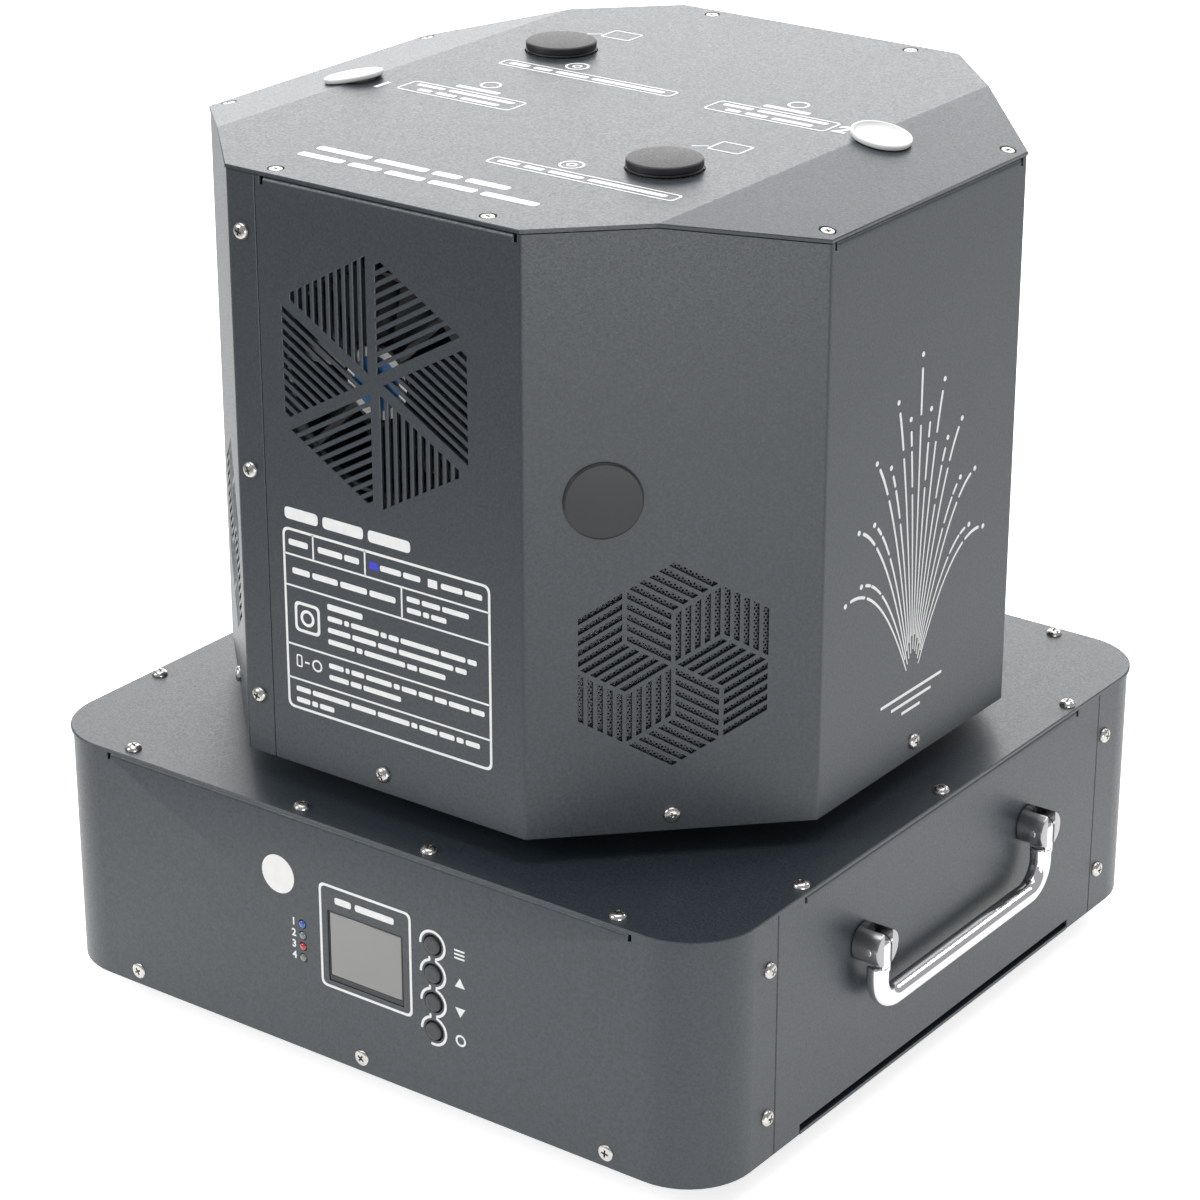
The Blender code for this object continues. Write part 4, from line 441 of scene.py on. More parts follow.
def lathe(profile, segments, place=Matrix()):
    """A turned mesh about the local Z axis, from (radius, height) points anticlockwise in that plane."""
    points, rings, faces = [], [], []
    on_axis = abs(profile[0][0]) < 1e-9
    for radius, height in profile:
        if abs(radius) < 1e-9:
            rings.append([len(points)] * segments)
            points.append(place @ Vector((0, 0, height)))
            continue
        rings.append(list(range(len(points), len(points) + segments)))
        points += [place @ Vector((x, y, height)) for x, y in circle(0, 0, radius, segments)]
    pairs = list(zip(rings, rings[1:])) + ([] if on_axis else [(rings[-1], rings[0])])
    for lower, upper in pairs:
        for step in range(segments):
            after = (step + 1) % segments
            face = list(dict.fromkeys((lower[step], lower[after], upper[after], upper[step])))
            if len(face) > 2:
                faces.append(tuple(face))
    return points, faces


def soft_lathe(profile, setback, segments, place):
    """A turned mesh whose profile has rounded corners."""
    return lathe([tuple(point) for point in fillet(profile, setback, 3, False)], segments, place)


def block(low, high, edge=0.3, place=Matrix()):
    """A box with bevelled edges."""
    mesh = bmesh.new()
    bmesh.ops.create_cube(mesh, size=1.0)
    low, high = Vector(low), Vector(high)
    for vertex in mesh.verts:
        vertex.co = place @ Vector([low[i] + (vertex.co[i] + 0.5) * (high[i] - low[i]) for i in range(3)])
    bmesh.ops.bevel(mesh, geom=mesh.edges[:], offset=edge, segments=2, affect="EDGES", profile=0.5)
    return take_mesh(mesh)


def take_mesh(mesh):
    """Points and faces of a bmesh, which is freed."""
    mesh.verts.index_update()
    points = [vertex.co.copy() for vertex in mesh.verts]
    faces = [tuple(vertex.index for vertex in face.verts) for face in mesh.faces]
    mesh.free()
    return points, faces


def axis_frame(position, direction, up=(0, 0, 1)):
    """A frame whose local Z axis points along direction, with up as near local Y as it can be."""
    z = Vector(direction).normalized()
    x = Vector(up).cross(z)
    if x.length < 1e-6:
        x = Vector((1, 0, 0))
    x.normalize()
    return Matrix.Translation(position) @ Matrix((x, z.cross(x), z)).transposed().to_4x4()


def half_turn(turned):
    """Nothing, or the half turn about the head's axis that carries one side's pieces to the other side."""
    return Matrix.Rotation(math.pi, 4, "Z") if turned else Matrix()


def swept(path, radius, sides, place, ease):
    """A round rod along a path in the local YZ plane, its ends rounded off by ease."""
    path = vectors(path)
    rings = []
    for index, here in enumerate(path):
        before, after = path[max(index - 1, 0)], path[min(index + 1, len(path) - 1)]
        rings.append((here, (after - before).normalized(), radius))
    ends = []
    for (spot, tangent, _), way in ((rings[0], -1), (rings[-1], 1)):
        ends.append([(spot + way * tangent * ease * math.sin(a), tangent, radius - ease * (1 - math.cos(a)))
                     for a in (math.pi / 6, math.pi / 3, math.pi / 2)])
    rings = ends[0][::-1] + rings + ends[1]
    points, faces = [], []
    for here, tangent, size in rings:
        across = Vector((0, tangent.y, -tangent.x))
        for angle in (2 * math.pi * side / sides for side in range(sides)):
            points.append(place @ (Vector((0, here.x, here.y)) + size * (Vector((1, 0, 0)) * math.cos(angle)
                                                                      + across * math.sin(angle))))
    for ring in range(len(rings) - 1):
        for side in range(sides):
            a, b = ring * sides + side, ring * sides + (side + 1) % sides
            faces.append((a, a + sides, b + sides, b))
    faces += [tuple(range(sides)), tuple(reversed(range((len(rings) - 1) * sides, len(rings) * sides)))]
    return points, faces


class BentPath:
    """Straight runs joined by round bends, all turning left. The outer side is on the right."""

    def __init__(self, corners, radius):
        corners = vectors(corners)
        self.radius = radius
        self.runs, self.bends = [], []
        u = trim = 0.0
        for index, (a, b) in enumerate(zip(corners, corners[1:])):
            along = (b - a).normalized()
            left = Vector((-along.y, along.x))
            turn = 0.0
            if index + 2 < len(corners):
                after = (corners[index + 2] - b).normalized()
                turn = math.acos(max(-1.0, min(1.0, along.dot(after))))
            end_trim = radius * math.tan(turn / 2)
            length = (b - a).length - trim - end_trim
            self.runs.append((u, u + length, a + along * trim, along, left, u - trim))
            u += length
            if turn:
                centre = b - along * end_trim + left * radius
                self.bends.append((u, u + radius * turn, centre, math.atan2(-left.y, -left.x)))
                u += radius * turn
            trim = end_trim
        self.length = u

    def u_of(self, run, distance):
        """Where a point lies along the sheet: its distance from the sharp corner where the run starts."""
        return self.runs[run][5] + distance

    def cuts(self, steps, ease=0.8):
        result = []
        for start, end, _, _ in self.bends:
            result += [start - ease] + [start + (end - start) * step / steps for step in range(steps + 1)]
            result.append(end + ease)
        return result

    def point(self, u, depth):
        for start, end, centre, angle in self.bends:
            if start <= u <= end:
                turn = angle + (u - start) / self.radius
                return centre + Vector((math.cos(turn), math.sin(turn))) * (self.radius - depth)
        for run in self.runs:
            if u <= run[1] + 1e-6:
                break
        return run[2] + run[3] * (u - run[0]) + run[4] * depth


class TopFold:
    """The fold that turns the top of a wall inward to a flange, between two places along it."""

    def __init__(self, first, last, top, turn=90.0):
        self.first, self.last = first, last
        self.turn = math.radians(turn)
        self.start = top - FOLD_RADIUS * math.sin(self.turn)
        self.bend = FOLD_RADIUS * self.turn
        self.end = self.start + self.bend + FLANGE

    def holds(self, u):
        return self.first - 0.5 <= u <= self.last + 0.5

    def edge(self, top):
        """The sheet's top edge from right to left past the flange and the notch on each side of it."""
        notch = self.start - NOTCH
        first, last = self.first, self.last
        return [(last + NOTCH, top), (last + NOTCH, notch), (last, notch), (last, self.end),
                (first, self.end), (first, notch), (first - NOTCH, notch), (first - NOTCH, top)]

    def cuts(self, steps=4):
        return [self.start + self.bend * step / steps for step in range(steps + 1)]

    def move(self, v, depth):
        """Height and depth of a point of the flat sheet after folding."""
        angle = min((v - self.start) / FOLD_RADIUS, self.turn)
        rest = max(v - self.start - self.bend, 0.0)
        inner = FOLD_RADIUS - depth
        return (self.start + inner * math.sin(angle) + rest * math.cos(angle),
                FOLD_RADIUS - inner * math.cos(angle) + rest * math.sin(angle))


def wall_place(path, folds, place=Matrix()):
    """Puts a point of a flat wall sheet on its bent path, folding its top where there is a fold."""
    def put(u, v, depth):
        for fold in folds:
            if fold.holds(u) and v > fold.start:
                v, depth = fold.move(v, depth)
                break
        flat = path.point(u, depth)
        return place @ Vector((flat.x, flat.y, v))
    return put


def flat_place(place):
    """Puts a point of a flat sheet in a frame whose local Z axis points out of its face."""
    return lambda u, v, depth: place @ Vector((u, v, -depth))


# Screws

def cut_away(mesh, cutter):
    """One mesh less another."""
    solids = []
    for source in (mesh, cutter):
        data = bpy.data.meshes.new("solid")
        data.from_pydata(source[0], [], source[1])
        solids.append(new_object("solid", data))
    modifier = solids[0].modifiers.new("cut", "BOOLEAN")
    modifier.operation = "DIFFERENCE"
    modifier.object = solids[1]
    bpy.context.view_layer.update()
    shape = solids[0].evaluated_get(bpy.context.evaluated_depsgraph_get()).to_mesh()
    points = [vertex.co.copy() for vertex in shape.vertices]
    faces = [tuple(face.vertices) for face in shape.polygons]
    for obj in solids:
        bpy.data.objects.remove(obj, do_unlink=True)
    return points, faces


def cross_recess(mesh, radius, depth, top):
    """Cuts a cross-shaped recess into the top of a turned head."""
    half, taper = 0.5, 0.6
    arm = vectors([(half, -half), (radius, -half), (radius, half)])
    plan = [Matrix.Rotation(math.radians(90 * turn), 2) @ corner for turn in range(4) for corner in arm]
    points = [Vector((x, y, top + 1)) for x, y in plan]
    points += [Vector((x * taper, y * taper, top - depth)) for x, y in plan]
    count = len(plan)
    faces = [tuple(range(count)), tuple(reversed(range(count, 2 * count)))]
    faces += [((i + 1) % count, i, i + count, (i + 1) % count + count) for i in range(count)]
    return cut_away(mesh, (points, faces))


def pan_head(height):
    """A pan-head screw that stands on its face by a height."""
    radius = 3.5
    profile = [(0, -1.0), (1.5, -1.0), (1.5, -0.02), (radius - 0.1, -0.02), (radius, 0.12)]
    profile += [(radius * math.cos(a) ** 0.62, 0.12 + (height - 0.12) * math.sin(a))
                for a in (math.radians(step) for step in (20, 40, 60, 75))]
    profile.append((0, height))
    return cross_recess(lathe(profile, 28), 2.0, min(1.5, height + 0.6), height)


def flush_head():
    """A countersunk screw whose face lies just under the plate's."""
    profile = [(0, -2.2), (1.6, -2.2), (2.65, -0.6), (2.75, -0.3), (2.6, -0.12), (0, -0.06)]
    return cross_recess(lathe(profile, 28), 1.7, 1.6, -0.06)


TALL_PAN = pan_head(2.1)
LOW_PAN = pan_head(0.95)
FLUSH = flush_head()


def spin_of(position):
    """A screw's own turn in its seat, which differs from screw to screw."""
    return (position[0] * 7.3 + position[1] * 3.1 + position[2] * 5.7) % (math.pi / 2)


def screw_at(into, shape, position, direction):
    place = axis_frame(position, direction) @ Matrix.Rotation(spin_of(position), 4, "Z")
    add_mesh(into, moved(shape, place))


# Base case

def base_shell(name, turned, holes):
    """A shell with round corners and a folded top edge. holes are in (x, height) on its main face."""
    corners = [(-BASE_X, -SEAM_Y), (-BASE_X, -BASE_Y), (BASE_X, -BASE_Y), (BASE_X, -SEAM_Y)]
    path = BentPath(corners, CORNER)
    middle = path.u_of(1, BASE_X)
    fold = TopFold(middle - FRONT_FOLD_X + NOTCH, middle + FRONT_FOLD_X - NOTCH, WALL_TOP)
    outline = [(0, BASE_LOW), (path.length, BASE_LOW), (path.length, WALL_TOP), *fold.edge(WALL_TOP),
               (0, WALL_TOP)]
    cut = [shifted(hole, middle, 0) for hole in holes]
    mesh = sheet_mesh(outline, wall_place(path, [fold], half_turn(turned)), holes=cut, cuts_u=path.cuts(12),
                      folds=[fold])
    make_piece(name + "_skin", mesh, PAINT, "base", replaces=(name,))


def make_base_case():
    """The front and rear shells, the two side panels and the lid."""
    width, height = WINDOW_SIZE.x + 2 * GAP, WINDOW_SIZE.z + 2 * GAP
    front = [fillet(rectangle(WINDOW_MIDDLE.x, WINDOW_MIDDLE.z, width, height), 0.6, 2)]
    front += [circle(key.x, key.z, KEY_RADIUS + KEY_HOLE_GAP, 32) for key in KEYS]
    front += [circle(LIGHT_X, LIGHT_TOP - LIGHT_PITCH * step, LIGHT_RADIUS + 0.15, 16) for step in range(4)]
    base_shell("base_front_shell", False, front)
    rear = [circle(-middle_mm(socket).x, middle_mm(socket).z, SOCKET_HOLE, 40) for socket in SOCKETS]
    low, high = box_mm("switch_housing")
    middle, size, rim = (low + high) / 2, high - low, 2.0 - GAP
    rear.append(rectangle(-middle.x, middle.z, size.x - 2 * rim, size.z - 2 * rim))
    base_shell("base_rear_shell", True, rear)

    seam = SEAM_Y - 0.4
    for label, side in (("right", 1), ("left", -1)):
        path = BentPath([(side * BASE_X, -side * seam), (side * BASE_X, side * seam)], 1.0)
        fold = TopFold(seam - SIDE_FOLD_Y + NOTCH, seam + SIDE_FOLD_Y - NOTCH, WALL_TOP)
        slot_low, slot_high = seam - SIDE_FOLD_Y, seam + SIDE_FOLD_Y
        outline = [(0, BASE_LOW), (slot_low, BASE_LOW), (slot_low, PAN_SLOT_TOP), (slot_high, PAN_SLOT_TOP),
                   (slot_high, BASE_LOW), (path.length, BASE_LOW), (path.length, WALL_TOP),
                   *fold.edge(WALL_TOP), (0, WALL_TOP)]
        mesh = sheet_mesh(outline, wall_place(path, [fold]), folds=[fold])
        lap_half, lap_low, lap_high = 10, PAN_SLOT_TOP + 9, WALL_TOP - 14
        x_low, x_high = sorted((side * (BASE_X - BEHIND - SHEET), side * (BASE_X - BEHIND)))
        for end in (-seam, seam):
            add_mesh(mesh, block((x_low, end - lap_half, lap_low), (x_high, end + lap_half, lap_high)))
        make_piece(f"base_side_skin_{label}", mesh, PAINT, "base", replaces=("base_side_panel_" + label,))

    outline = fillet_corners(LID_HIGH.x, LID_HIGH.y, CORNER + LID_HIGH.x - BASE_X)
    top = flat_place(Matrix.Translation((0, 0, BASE_TOP)))
    lid = sheet_mesh(outline, top, edge=0.4, holes=[circle(0, 0, LID_BORE, 72)])
    make_piece("base_lid_skin", lid, PAINT, "base", replaces=("base_lid",))


def fillet_corners(half_x, half_y, radius):
    """A rounded rectangle with true round corners."""
    outline = []
    for sx, sy, start in ((1, -1, -90), (1, 1, 0), (-1, 1, 90), (-1, -1, 180)):
        outline += arc(sx * (half_x - radius), sy * (half_y - radius), radius, start, start + 90, 14)
    return outline


def make_feet():
    """Turned rubber feet with a deep recess in their underside."""
    for label in ("front_right", "front_left", "rear_right", "rear_left"):
        node = "rubber_foot_" + label
        low, high = box_mm(node)
        middle = (low + high) / 2
        place = Matrix.Translation((middle.x, middle.y, 0))
        profile = [(0, 6), (5, 6), (5, 0), (12, 0), (14, 2.4), (13, high.z), (0, high.z)]
        make_piece(node + "_turned", soft_lathe(profile, 0.8, 48, place), RUBBER, "base", replaces=(node,))


def make_base_screws():
    screws = ([], [])
    for x, y in LID_SCREWS:
        screw_at(screws, TALL_PAN, (x, y, BASE_TOP), (0, 0, 1))
    for side in (-1, 1):
        for x in LOW_SCREWS_X:
            screw_at(screws, LOW_PAN, (x, side * BASE_Y, LOW_SCREWS_Z), (0, side, 0))
        for y, z in SIDE_SCREWS:
            screw_at(screws, TALL_PAN, (side * BASE_X, y, z), (side, 0, 0))
    make_piece("base_screws", screws, SCREW, "base")


# Handles

def make_handles():
    """Slotted posts with a pin, and the bail of bright rod that hangs between them."""
    for label, side in (("right", 1), ("left", -1)):
        turn = half_turn(side < 0)
        front, rear = middle_mm(f"handle_pin_{label}_front"), middle_mm(f"handle_pin_{label}_rear")
        pivot_x, pivot_z, pitch = abs(front.x), front.z, abs(rear.y - front.y)
        for end, y in (("front", -side * pitch / 2), ("rear", side * pitch / 2)):
            post = slotted_post(y, pivot_z)
            node = f"handle_post_{label}_{end}"
            make_piece(node + "_turned", moved(post, turn), POST, "base", replaces=(node,))
            pin_axis = turn @ axis_frame((pivot_x, y, pivot_z), (0, 1, 0))
            pin = soft_lathe([(0, -8.15), (1.5, -8.15), (1.5, 8.15), (0, 8.15)], 0.3, 20, pin_axis)
            pin_node = f"handle_pin_{label}_{end}"
            make_piece(pin_node + "_turned", pin, CHROME, "base", replaces=(pin_node,))
        place = turn @ Matrix.Translation((pivot_x, 0, pivot_z))
        make_piece("handle_bail_rod_" + label, bail_mesh(pitch, place), CHROME, "handle_bail_" + label,
                   replaces=("handle_bail_" + label,))


def slotted_post(y, pivot_z):
    """A round post on a narrow foot, with a bevelled end that an upright slot cuts in two."""
    radius, foot, length, slot_half, slot_depth = 8.0, 7.6, 12.5, 3.0, 9.3
    step, bevel = GAP + 0.5, 0.8
    profile = [(0, GAP), (foot, GAP), (foot, step), (radius, step), (radius, length - bevel),
               (radius - 0.25 * bevel, length - 0.25 * bevel), (radius - bevel, length), (0, length)]
    post = lathe(profile, 56, axis_frame((BASE_X, y, pivot_z), (1, 0, 0)))
    slot = block((BASE_X + length - slot_depth, y - slot_half, pivot_z - 2 * radius),
                 (BASE_X + length + 1, y + slot_half, pivot_z + 2 * radius), 0)
    return cut_away(post, slot)


def bail_mesh(pitch, place):
    """A rod with two round bends whose ends are flattened to tongues with an eye."""
    radius, drop, bend, tongue = 4.5, 26.7, 12.0, 9.6
    half = pitch / 2
    corner_y, corner_z = half - bend, -drop + bend
    path = [(-half, -tongue), (-half, corner_z + 0.3)]
    path += arc(-corner_y, corner_z, bend, 180, 270, 14) + arc(corner_y, corner_z, bend, 270, 360, 14)
    path += [(half, corner_z + 0.3), (half, -tongue)]
    mesh = swept(path, radius, 32, place, ease=0.9)
    for y in (-half, half):
        outline = arc(0, 0, 4.0, 0, 180, 20) + [(-4.0, -tongue - 1.5), (4.0, -tongue - 1.5)]
        face = place @ axis_frame((0, y - 2.7, 0), (0, -1, 0))
        add_mesh(mesh, sheet_mesh(outline, flat_place(face), thickness=5.4, edge=0.35,
                                  holes=[circle(0, 0, 1.8, 20)]))
    return mesh


# Front panel

def panel_frame(x, z):
    """A frame on the front panel: X to the right, Y up, Z out of the panel."""
    return axis_frame((x, PANEL_Y, z), (0, -1, 0))


def make_display():
    """A rim that takes the window's whole box, and the grey face inside it."""
    margin, foot = 0.5, 2.2
    lift = (foot - margin) / 2
    width, height = WINDOW_SIZE.x - 2 * margin, WINDOW_SIZE.z - margin - foot
    face = flat_place(axis_frame((WINDOW_MIDDLE.x, WINDOW_LOW.y, WINDOW_MIDDLE.z), (0, -1, 0)))
    rim = sheet_mesh(rectangle(0, 0, WINDOW_SIZE.x, WINDOW_SIZE.z), face, thickness=WINDOW_SIZE.y, edge=0.15,
                     holes=[fillet(rectangle(0, lift, width, height), 0.6, 2)])
    make_piece("display_rim", rim, PLASTIC, "base")
    pane = fillet(rectangle(0, lift, width - 0.1, height - 0.1), 0.6, 2)
    glass = sheet_mesh(pane, lambda u, v, depth: face(u, v, depth + 0.15), thickness=0.8, edge=0.25)
    make_piece("display_face", glass, GLASS, "base", replaces=("display_window",))


def make_keys_and_lights():
    """The four keys, and the domed lenses of the four status lights."""
    for name, key in zip(KEY_NAMES, KEYS):
        low, high = box_mm("button_" + name)
        face_y, back_y, rim_radius = low.y, high.y, (high.x - low.x) / 2
        step_y = PANEL_Y + BEHIND
        profile = [(0, -back_y), (2.5, -back_y), (2.5, -step_y - 1), (rim_radius, -step_y - 1),
                   (rim_radius, -step_y), (KEY_RADIUS, -step_y), (KEY_RADIUS, -face_y - 0.3),
                   (KEY_RADIUS - 1.2, -face_y - 0.05), (0, -face_y - 0.25)]
        place = axis_frame((key.x, 0, key.z), (0, -1, 0))
        make_piece("key_cap_" + name, soft_lathe(profile, 0.35, 40, place), KEY_PLASTIC, "button_" + name,
                   replaces=("button_" + name,))

    for step, colour in enumerate(LIGHT_COLOURS):
        profile = [(0, -8), (LIGHT_RADIUS, -8), (LIGHT_RADIUS, 0)]
        profile += [(LIGHT_RADIUS * math.cos(a), 0.85 * math.sin(a)) for a in (0.4, 0.8, 1.2)] + [(0, 0.85)]
        lens = lathe(profile, 24, panel_frame(LIGHT_X, LIGHT_TOP - LIGHT_PITCH * step))
        make_piece(f"status_light_{step + 1}", lens, light_finish(step + 1, colour), "base")


def make_board():
    """The control board with the display's module, the key switches and a few chips."""
    low, high = box_mm("control_board")
    board_y, switch_depth, chip_depth = PANEL_Y + 12.0, 3.4, 1.6
    back_y = board_y + 1.6
    mesh = block((low.x, board_y, low.z), (high.x, back_y, high.z), 0.2)
    make_piece("control_board_sheet", mesh, BOARD, "base", replaces=("control_board",))
    parts = block((WINDOW_LOW.x - 2, WINDOW_HIGH.y + GAP, WINDOW_LOW.z - 2),
                  (WINDOW_HIGH.x + 2, board_y, WINDOW_HIGH.z + 2), 0.4)
    for key in KEYS:
        add_mesh(parts, block((key.x - 3, board_y - switch_depth, key.z - 3),
                              (key.x + 3, board_y, key.z + 3)))
    for x, up, w, h in ((-36, 38, 10, 10), (-34, 64, 8, 5), (30, 72, 9, 4), (-14, 76, 12, 4)):
        z = BASE_LOW + up
        add_mesh(parts, block((x, back_y, z), (x + w, back_y + chip_depth, z + h)))
    make_piece("control_board_parts", parts, PLASTIC, "base")


# Rear panel

def make_sockets():
    """Round sockets, each with its own insert and three contacts."""
    thirds = [math.radians(90 + 120 * step) for step in range(3)]
    for name in SOCKETS:
        spot = middle_mm(name)
        place = axis_frame((spot.x, BASE_Y, spot.z), (0, 1, 0))
        face, end = -GAP, box_mm(name)[0].y - BASE_Y
        bore, floor, post = 8.5, face - 14.0, 3.5
        shell = [(0, end), (11, end), (11, -3.8), (15.4, -3.8), (15.4, -1.85), (12, -1.85), (12, face - 0.1)]
        inserts = {"dmx_input": [(bore, face), (bore, face - 12), (0, face - 12)],
                   "dmx_output": [(bore + 0.5, face), (bore, face - 0.8), (0, face - 0.8)]}
        mains = [(bore, face), (bore, floor), (post, floor), (post, face - 4), (0, face - 4)]
        insert = inserts.get(name, mains)
        mesh = soft_lathe(shell + insert, 0.4, 56, place)
        if name.startswith("power"):
            for angle in thirds:
                key = place @ Matrix.Rotation(angle, 4, "Z")
                add_mesh(mesh, block((bore - 1.4, -1.3, floor), (bore + 0.1, 1.3, face - 1.5), 0.2, key))
        make_piece(name + "_body", mesh, PLASTIC, "base", replaces=(name,))
        pins = ([], [])
        for angle in thirds:
            reach = 4.4
            if name == "dmx_input":
                pin = [(0, face - 13), (1.2, face - 13), (1.2, face - 2.4), (0.6, face - 1.6),
                       (0, face - 1.5)]
            elif name == "dmx_output":
                pin = [(0, face - 2), (1.5, face - 2), (1.5, face - 0.72), (1.1, face - 0.72),
                       (0.9, face - 1.4), (0, face - 1.4)]
            else:
                pin = [(0, floor - 1), (0.9, floor - 1), (0.9, floor + 6), (0, floor + 6)]
                reach, angle = 6.0, angle + 1
            spot = Matrix.Translation((reach * math.cos(angle), reach * math.sin(angle), 0))
            add_mesh(pins, lathe(pin, 20, place @ spot))
        make_piece(name + "_contacts", pins, ZINC, "base")


def make_switch():
    """The switch's bezel and, in its opening, the rocker: a bar with two tilted faces and round ends."""
    low, high = box_mm("switch_housing")
    spot = (low + high) / 2
    face = flat_place(axis_frame((spot.x, BASE_Y - GAP, spot.z), (0, 1, 0)))
    wide, tall = high.x - low.x - 4, high.z - low.z - 4
    bezel = sheet_mesh(fillet(rectangle(0, 0, wide, tall), 1.2), face, thickness=20.0, edge=0.5,
                       holes=[fillet(rectangle(0, 0, wide - 3.4, tall - 2.8), 0.8)])
    reach, floor = Vector((wide / 2, 0, tall / 2)), Vector((0, 2, 0))
    back = Vector((spot.x, low.y, spot.z))
    add_mesh(bezel, block(back - reach, back + reach + floor))
    make_piece("switch_bezel", bezel, PLASTIC, "base", replaces=("switch_housing",))

    low, high = box_mm("power_switch_rocker")
    radius, tilt = 12.8, math.radians(7)
    pivot = Vector(((low.x + high.x) / 2, BASE_Y - 9.0, spot.z))
    half = (high.x - low.x) / 2
    outline = arc(0, 0, radius, 272, 308, 12) + [(5.6, 0)] + arc(0, 0, radius, 52, 88, 12)
    turn = Matrix.Rotation(tilt, 4, "Z")
    place = axis_frame(pivot + Vector((half, 0, 0)), (1, 0, 0)) @ turn
    mesh = sheet_mesh(outline, flat_place(place), thickness=2 * half, edge=0.4)
    make_piece("rocker_key", mesh, PLASTIC, "power_switch_rocker", replaces=("power_switch_rocker",))


# Head case

def grille_slots():
    """The grille's slots about its middle: in each of six triangles they run along its first spoke."""
    slots = []
    cot = 1 / math.tan(math.radians(60))
    for sector in range(6):
        spoke = Matrix.Rotation(math.radians(30 + 60 * sector), 2)
        for step in range(1, GRILLE_SLOTS + 1):
            low, high = step * GRILLE_PITCH - GRILLE_SLOT / 2, step * GRILLE_PITCH + GRILLE_SLOT / 2
            spoke_edge = GRILLE_SPOKE / math.sin(math.radians(60))
            slot = [(low * cot + spoke_edge, low), (GRILLE_RADIUS - low * cot, low),
                    (GRILLE_RADIUS - high * cot, high), (high * cot + spoke_edge, high)]
            if slot[2][0] - slot[3][0] > 0.8:
                slots.append([spoke @ Vector(corner) for corner in slot])
    return slots


# The twelve rhombi of a perforated hexagon: half-side steps from its middle to a corner of the rhombus, the
# direction of its strips, and the direction they are stacked in, all as angles.
RHOMBI = (((90, 90), -30, 210), ((90, 150), -30, 270), ((), -30, 270), ((270,), -30, 210),
          ((), 90, 30), ((30,), 90, -30), ((210, 210), 90, -30), ((210, 270), 90, 30),
          ((150, 150), 30, 270), ((150, 210), 30, -30), ((), 30, -30), ((330,), 30, 270))
STRIPS = 5
STRIP_SHARE = 0.58
STRIP_END = 0.05
MESH_PITCH = 1.5
MESH_HOLE = 0.48
MESH_SHEET = 0.8


def perforated_strips():
    """The slots of a perforated hexagon, in parallel strips that turn from rhombus to rhombus."""
    side = PERFORATED_RADIUS / 2
    strips = []
    for steps, along, across in RHOMBI:
        corner = sum((heading(step) * side for step in steps), Vector((0, 0)))
        for strip in range(STRIPS):
            near, far = [(strip + 0.5 + shift) / STRIPS for shift in (-STRIP_SHARE / 2, STRIP_SHARE / 2)]
            ends = ((STRIP_END, near), (1 - STRIP_END, near), (1 - STRIP_END, far), (STRIP_END, far))
            strips.append(turned_to([corner + heading(along) * side * run + heading(across) * side * stack
                                     for run, stack in ends], 1))
    return strips


def perforated_sheet():
    """The sheet behind a perforated hexagon: small round holes in a staggered grid."""
    row_pitch = MESH_PITCH * math.sqrt(3) / 2
    rows, columns = int(PERFORATED_RADIUS / row_pitch), int(PERFORATED_RADIUS / MESH_PITCH)
    flat = PERFORATED_RADIUS * math.cos(math.radians(30))
    holes = []
    for row in range(-rows, rows + 1):
        for column in range(-columns, columns + 1):
            spot = Vector(((column + (row % 2) / 2) * MESH_PITCH, row * row_pitch))
            if all(abs(spot.dot(heading(angle))) < flat for angle in (0, 60, 120)):
                holes.append(circle(spot.x, spot.y, MESH_HOLE, 6))
    outline = rectangle(0, 0, 2 * flat + 6, 2 * PERFORATED_RADIUS + 6)
    return sheet_mesh(outline, flat_place(Matrix()), thickness=MESH_SHEET, edge=0, small_holes=holes)


def heading(degrees):
    angle = math.radians(degrees)
    return Vector((math.cos(angle), math.sin(angle)))


def head_wall_top(x):
    """The height of the head's walls under the top plate, which slopes down past its folds."""
    return HEAD_TOP - SHEET - GAP - max(abs(x) - TOP_FOLD_X, 0) * TOP_SLOPE


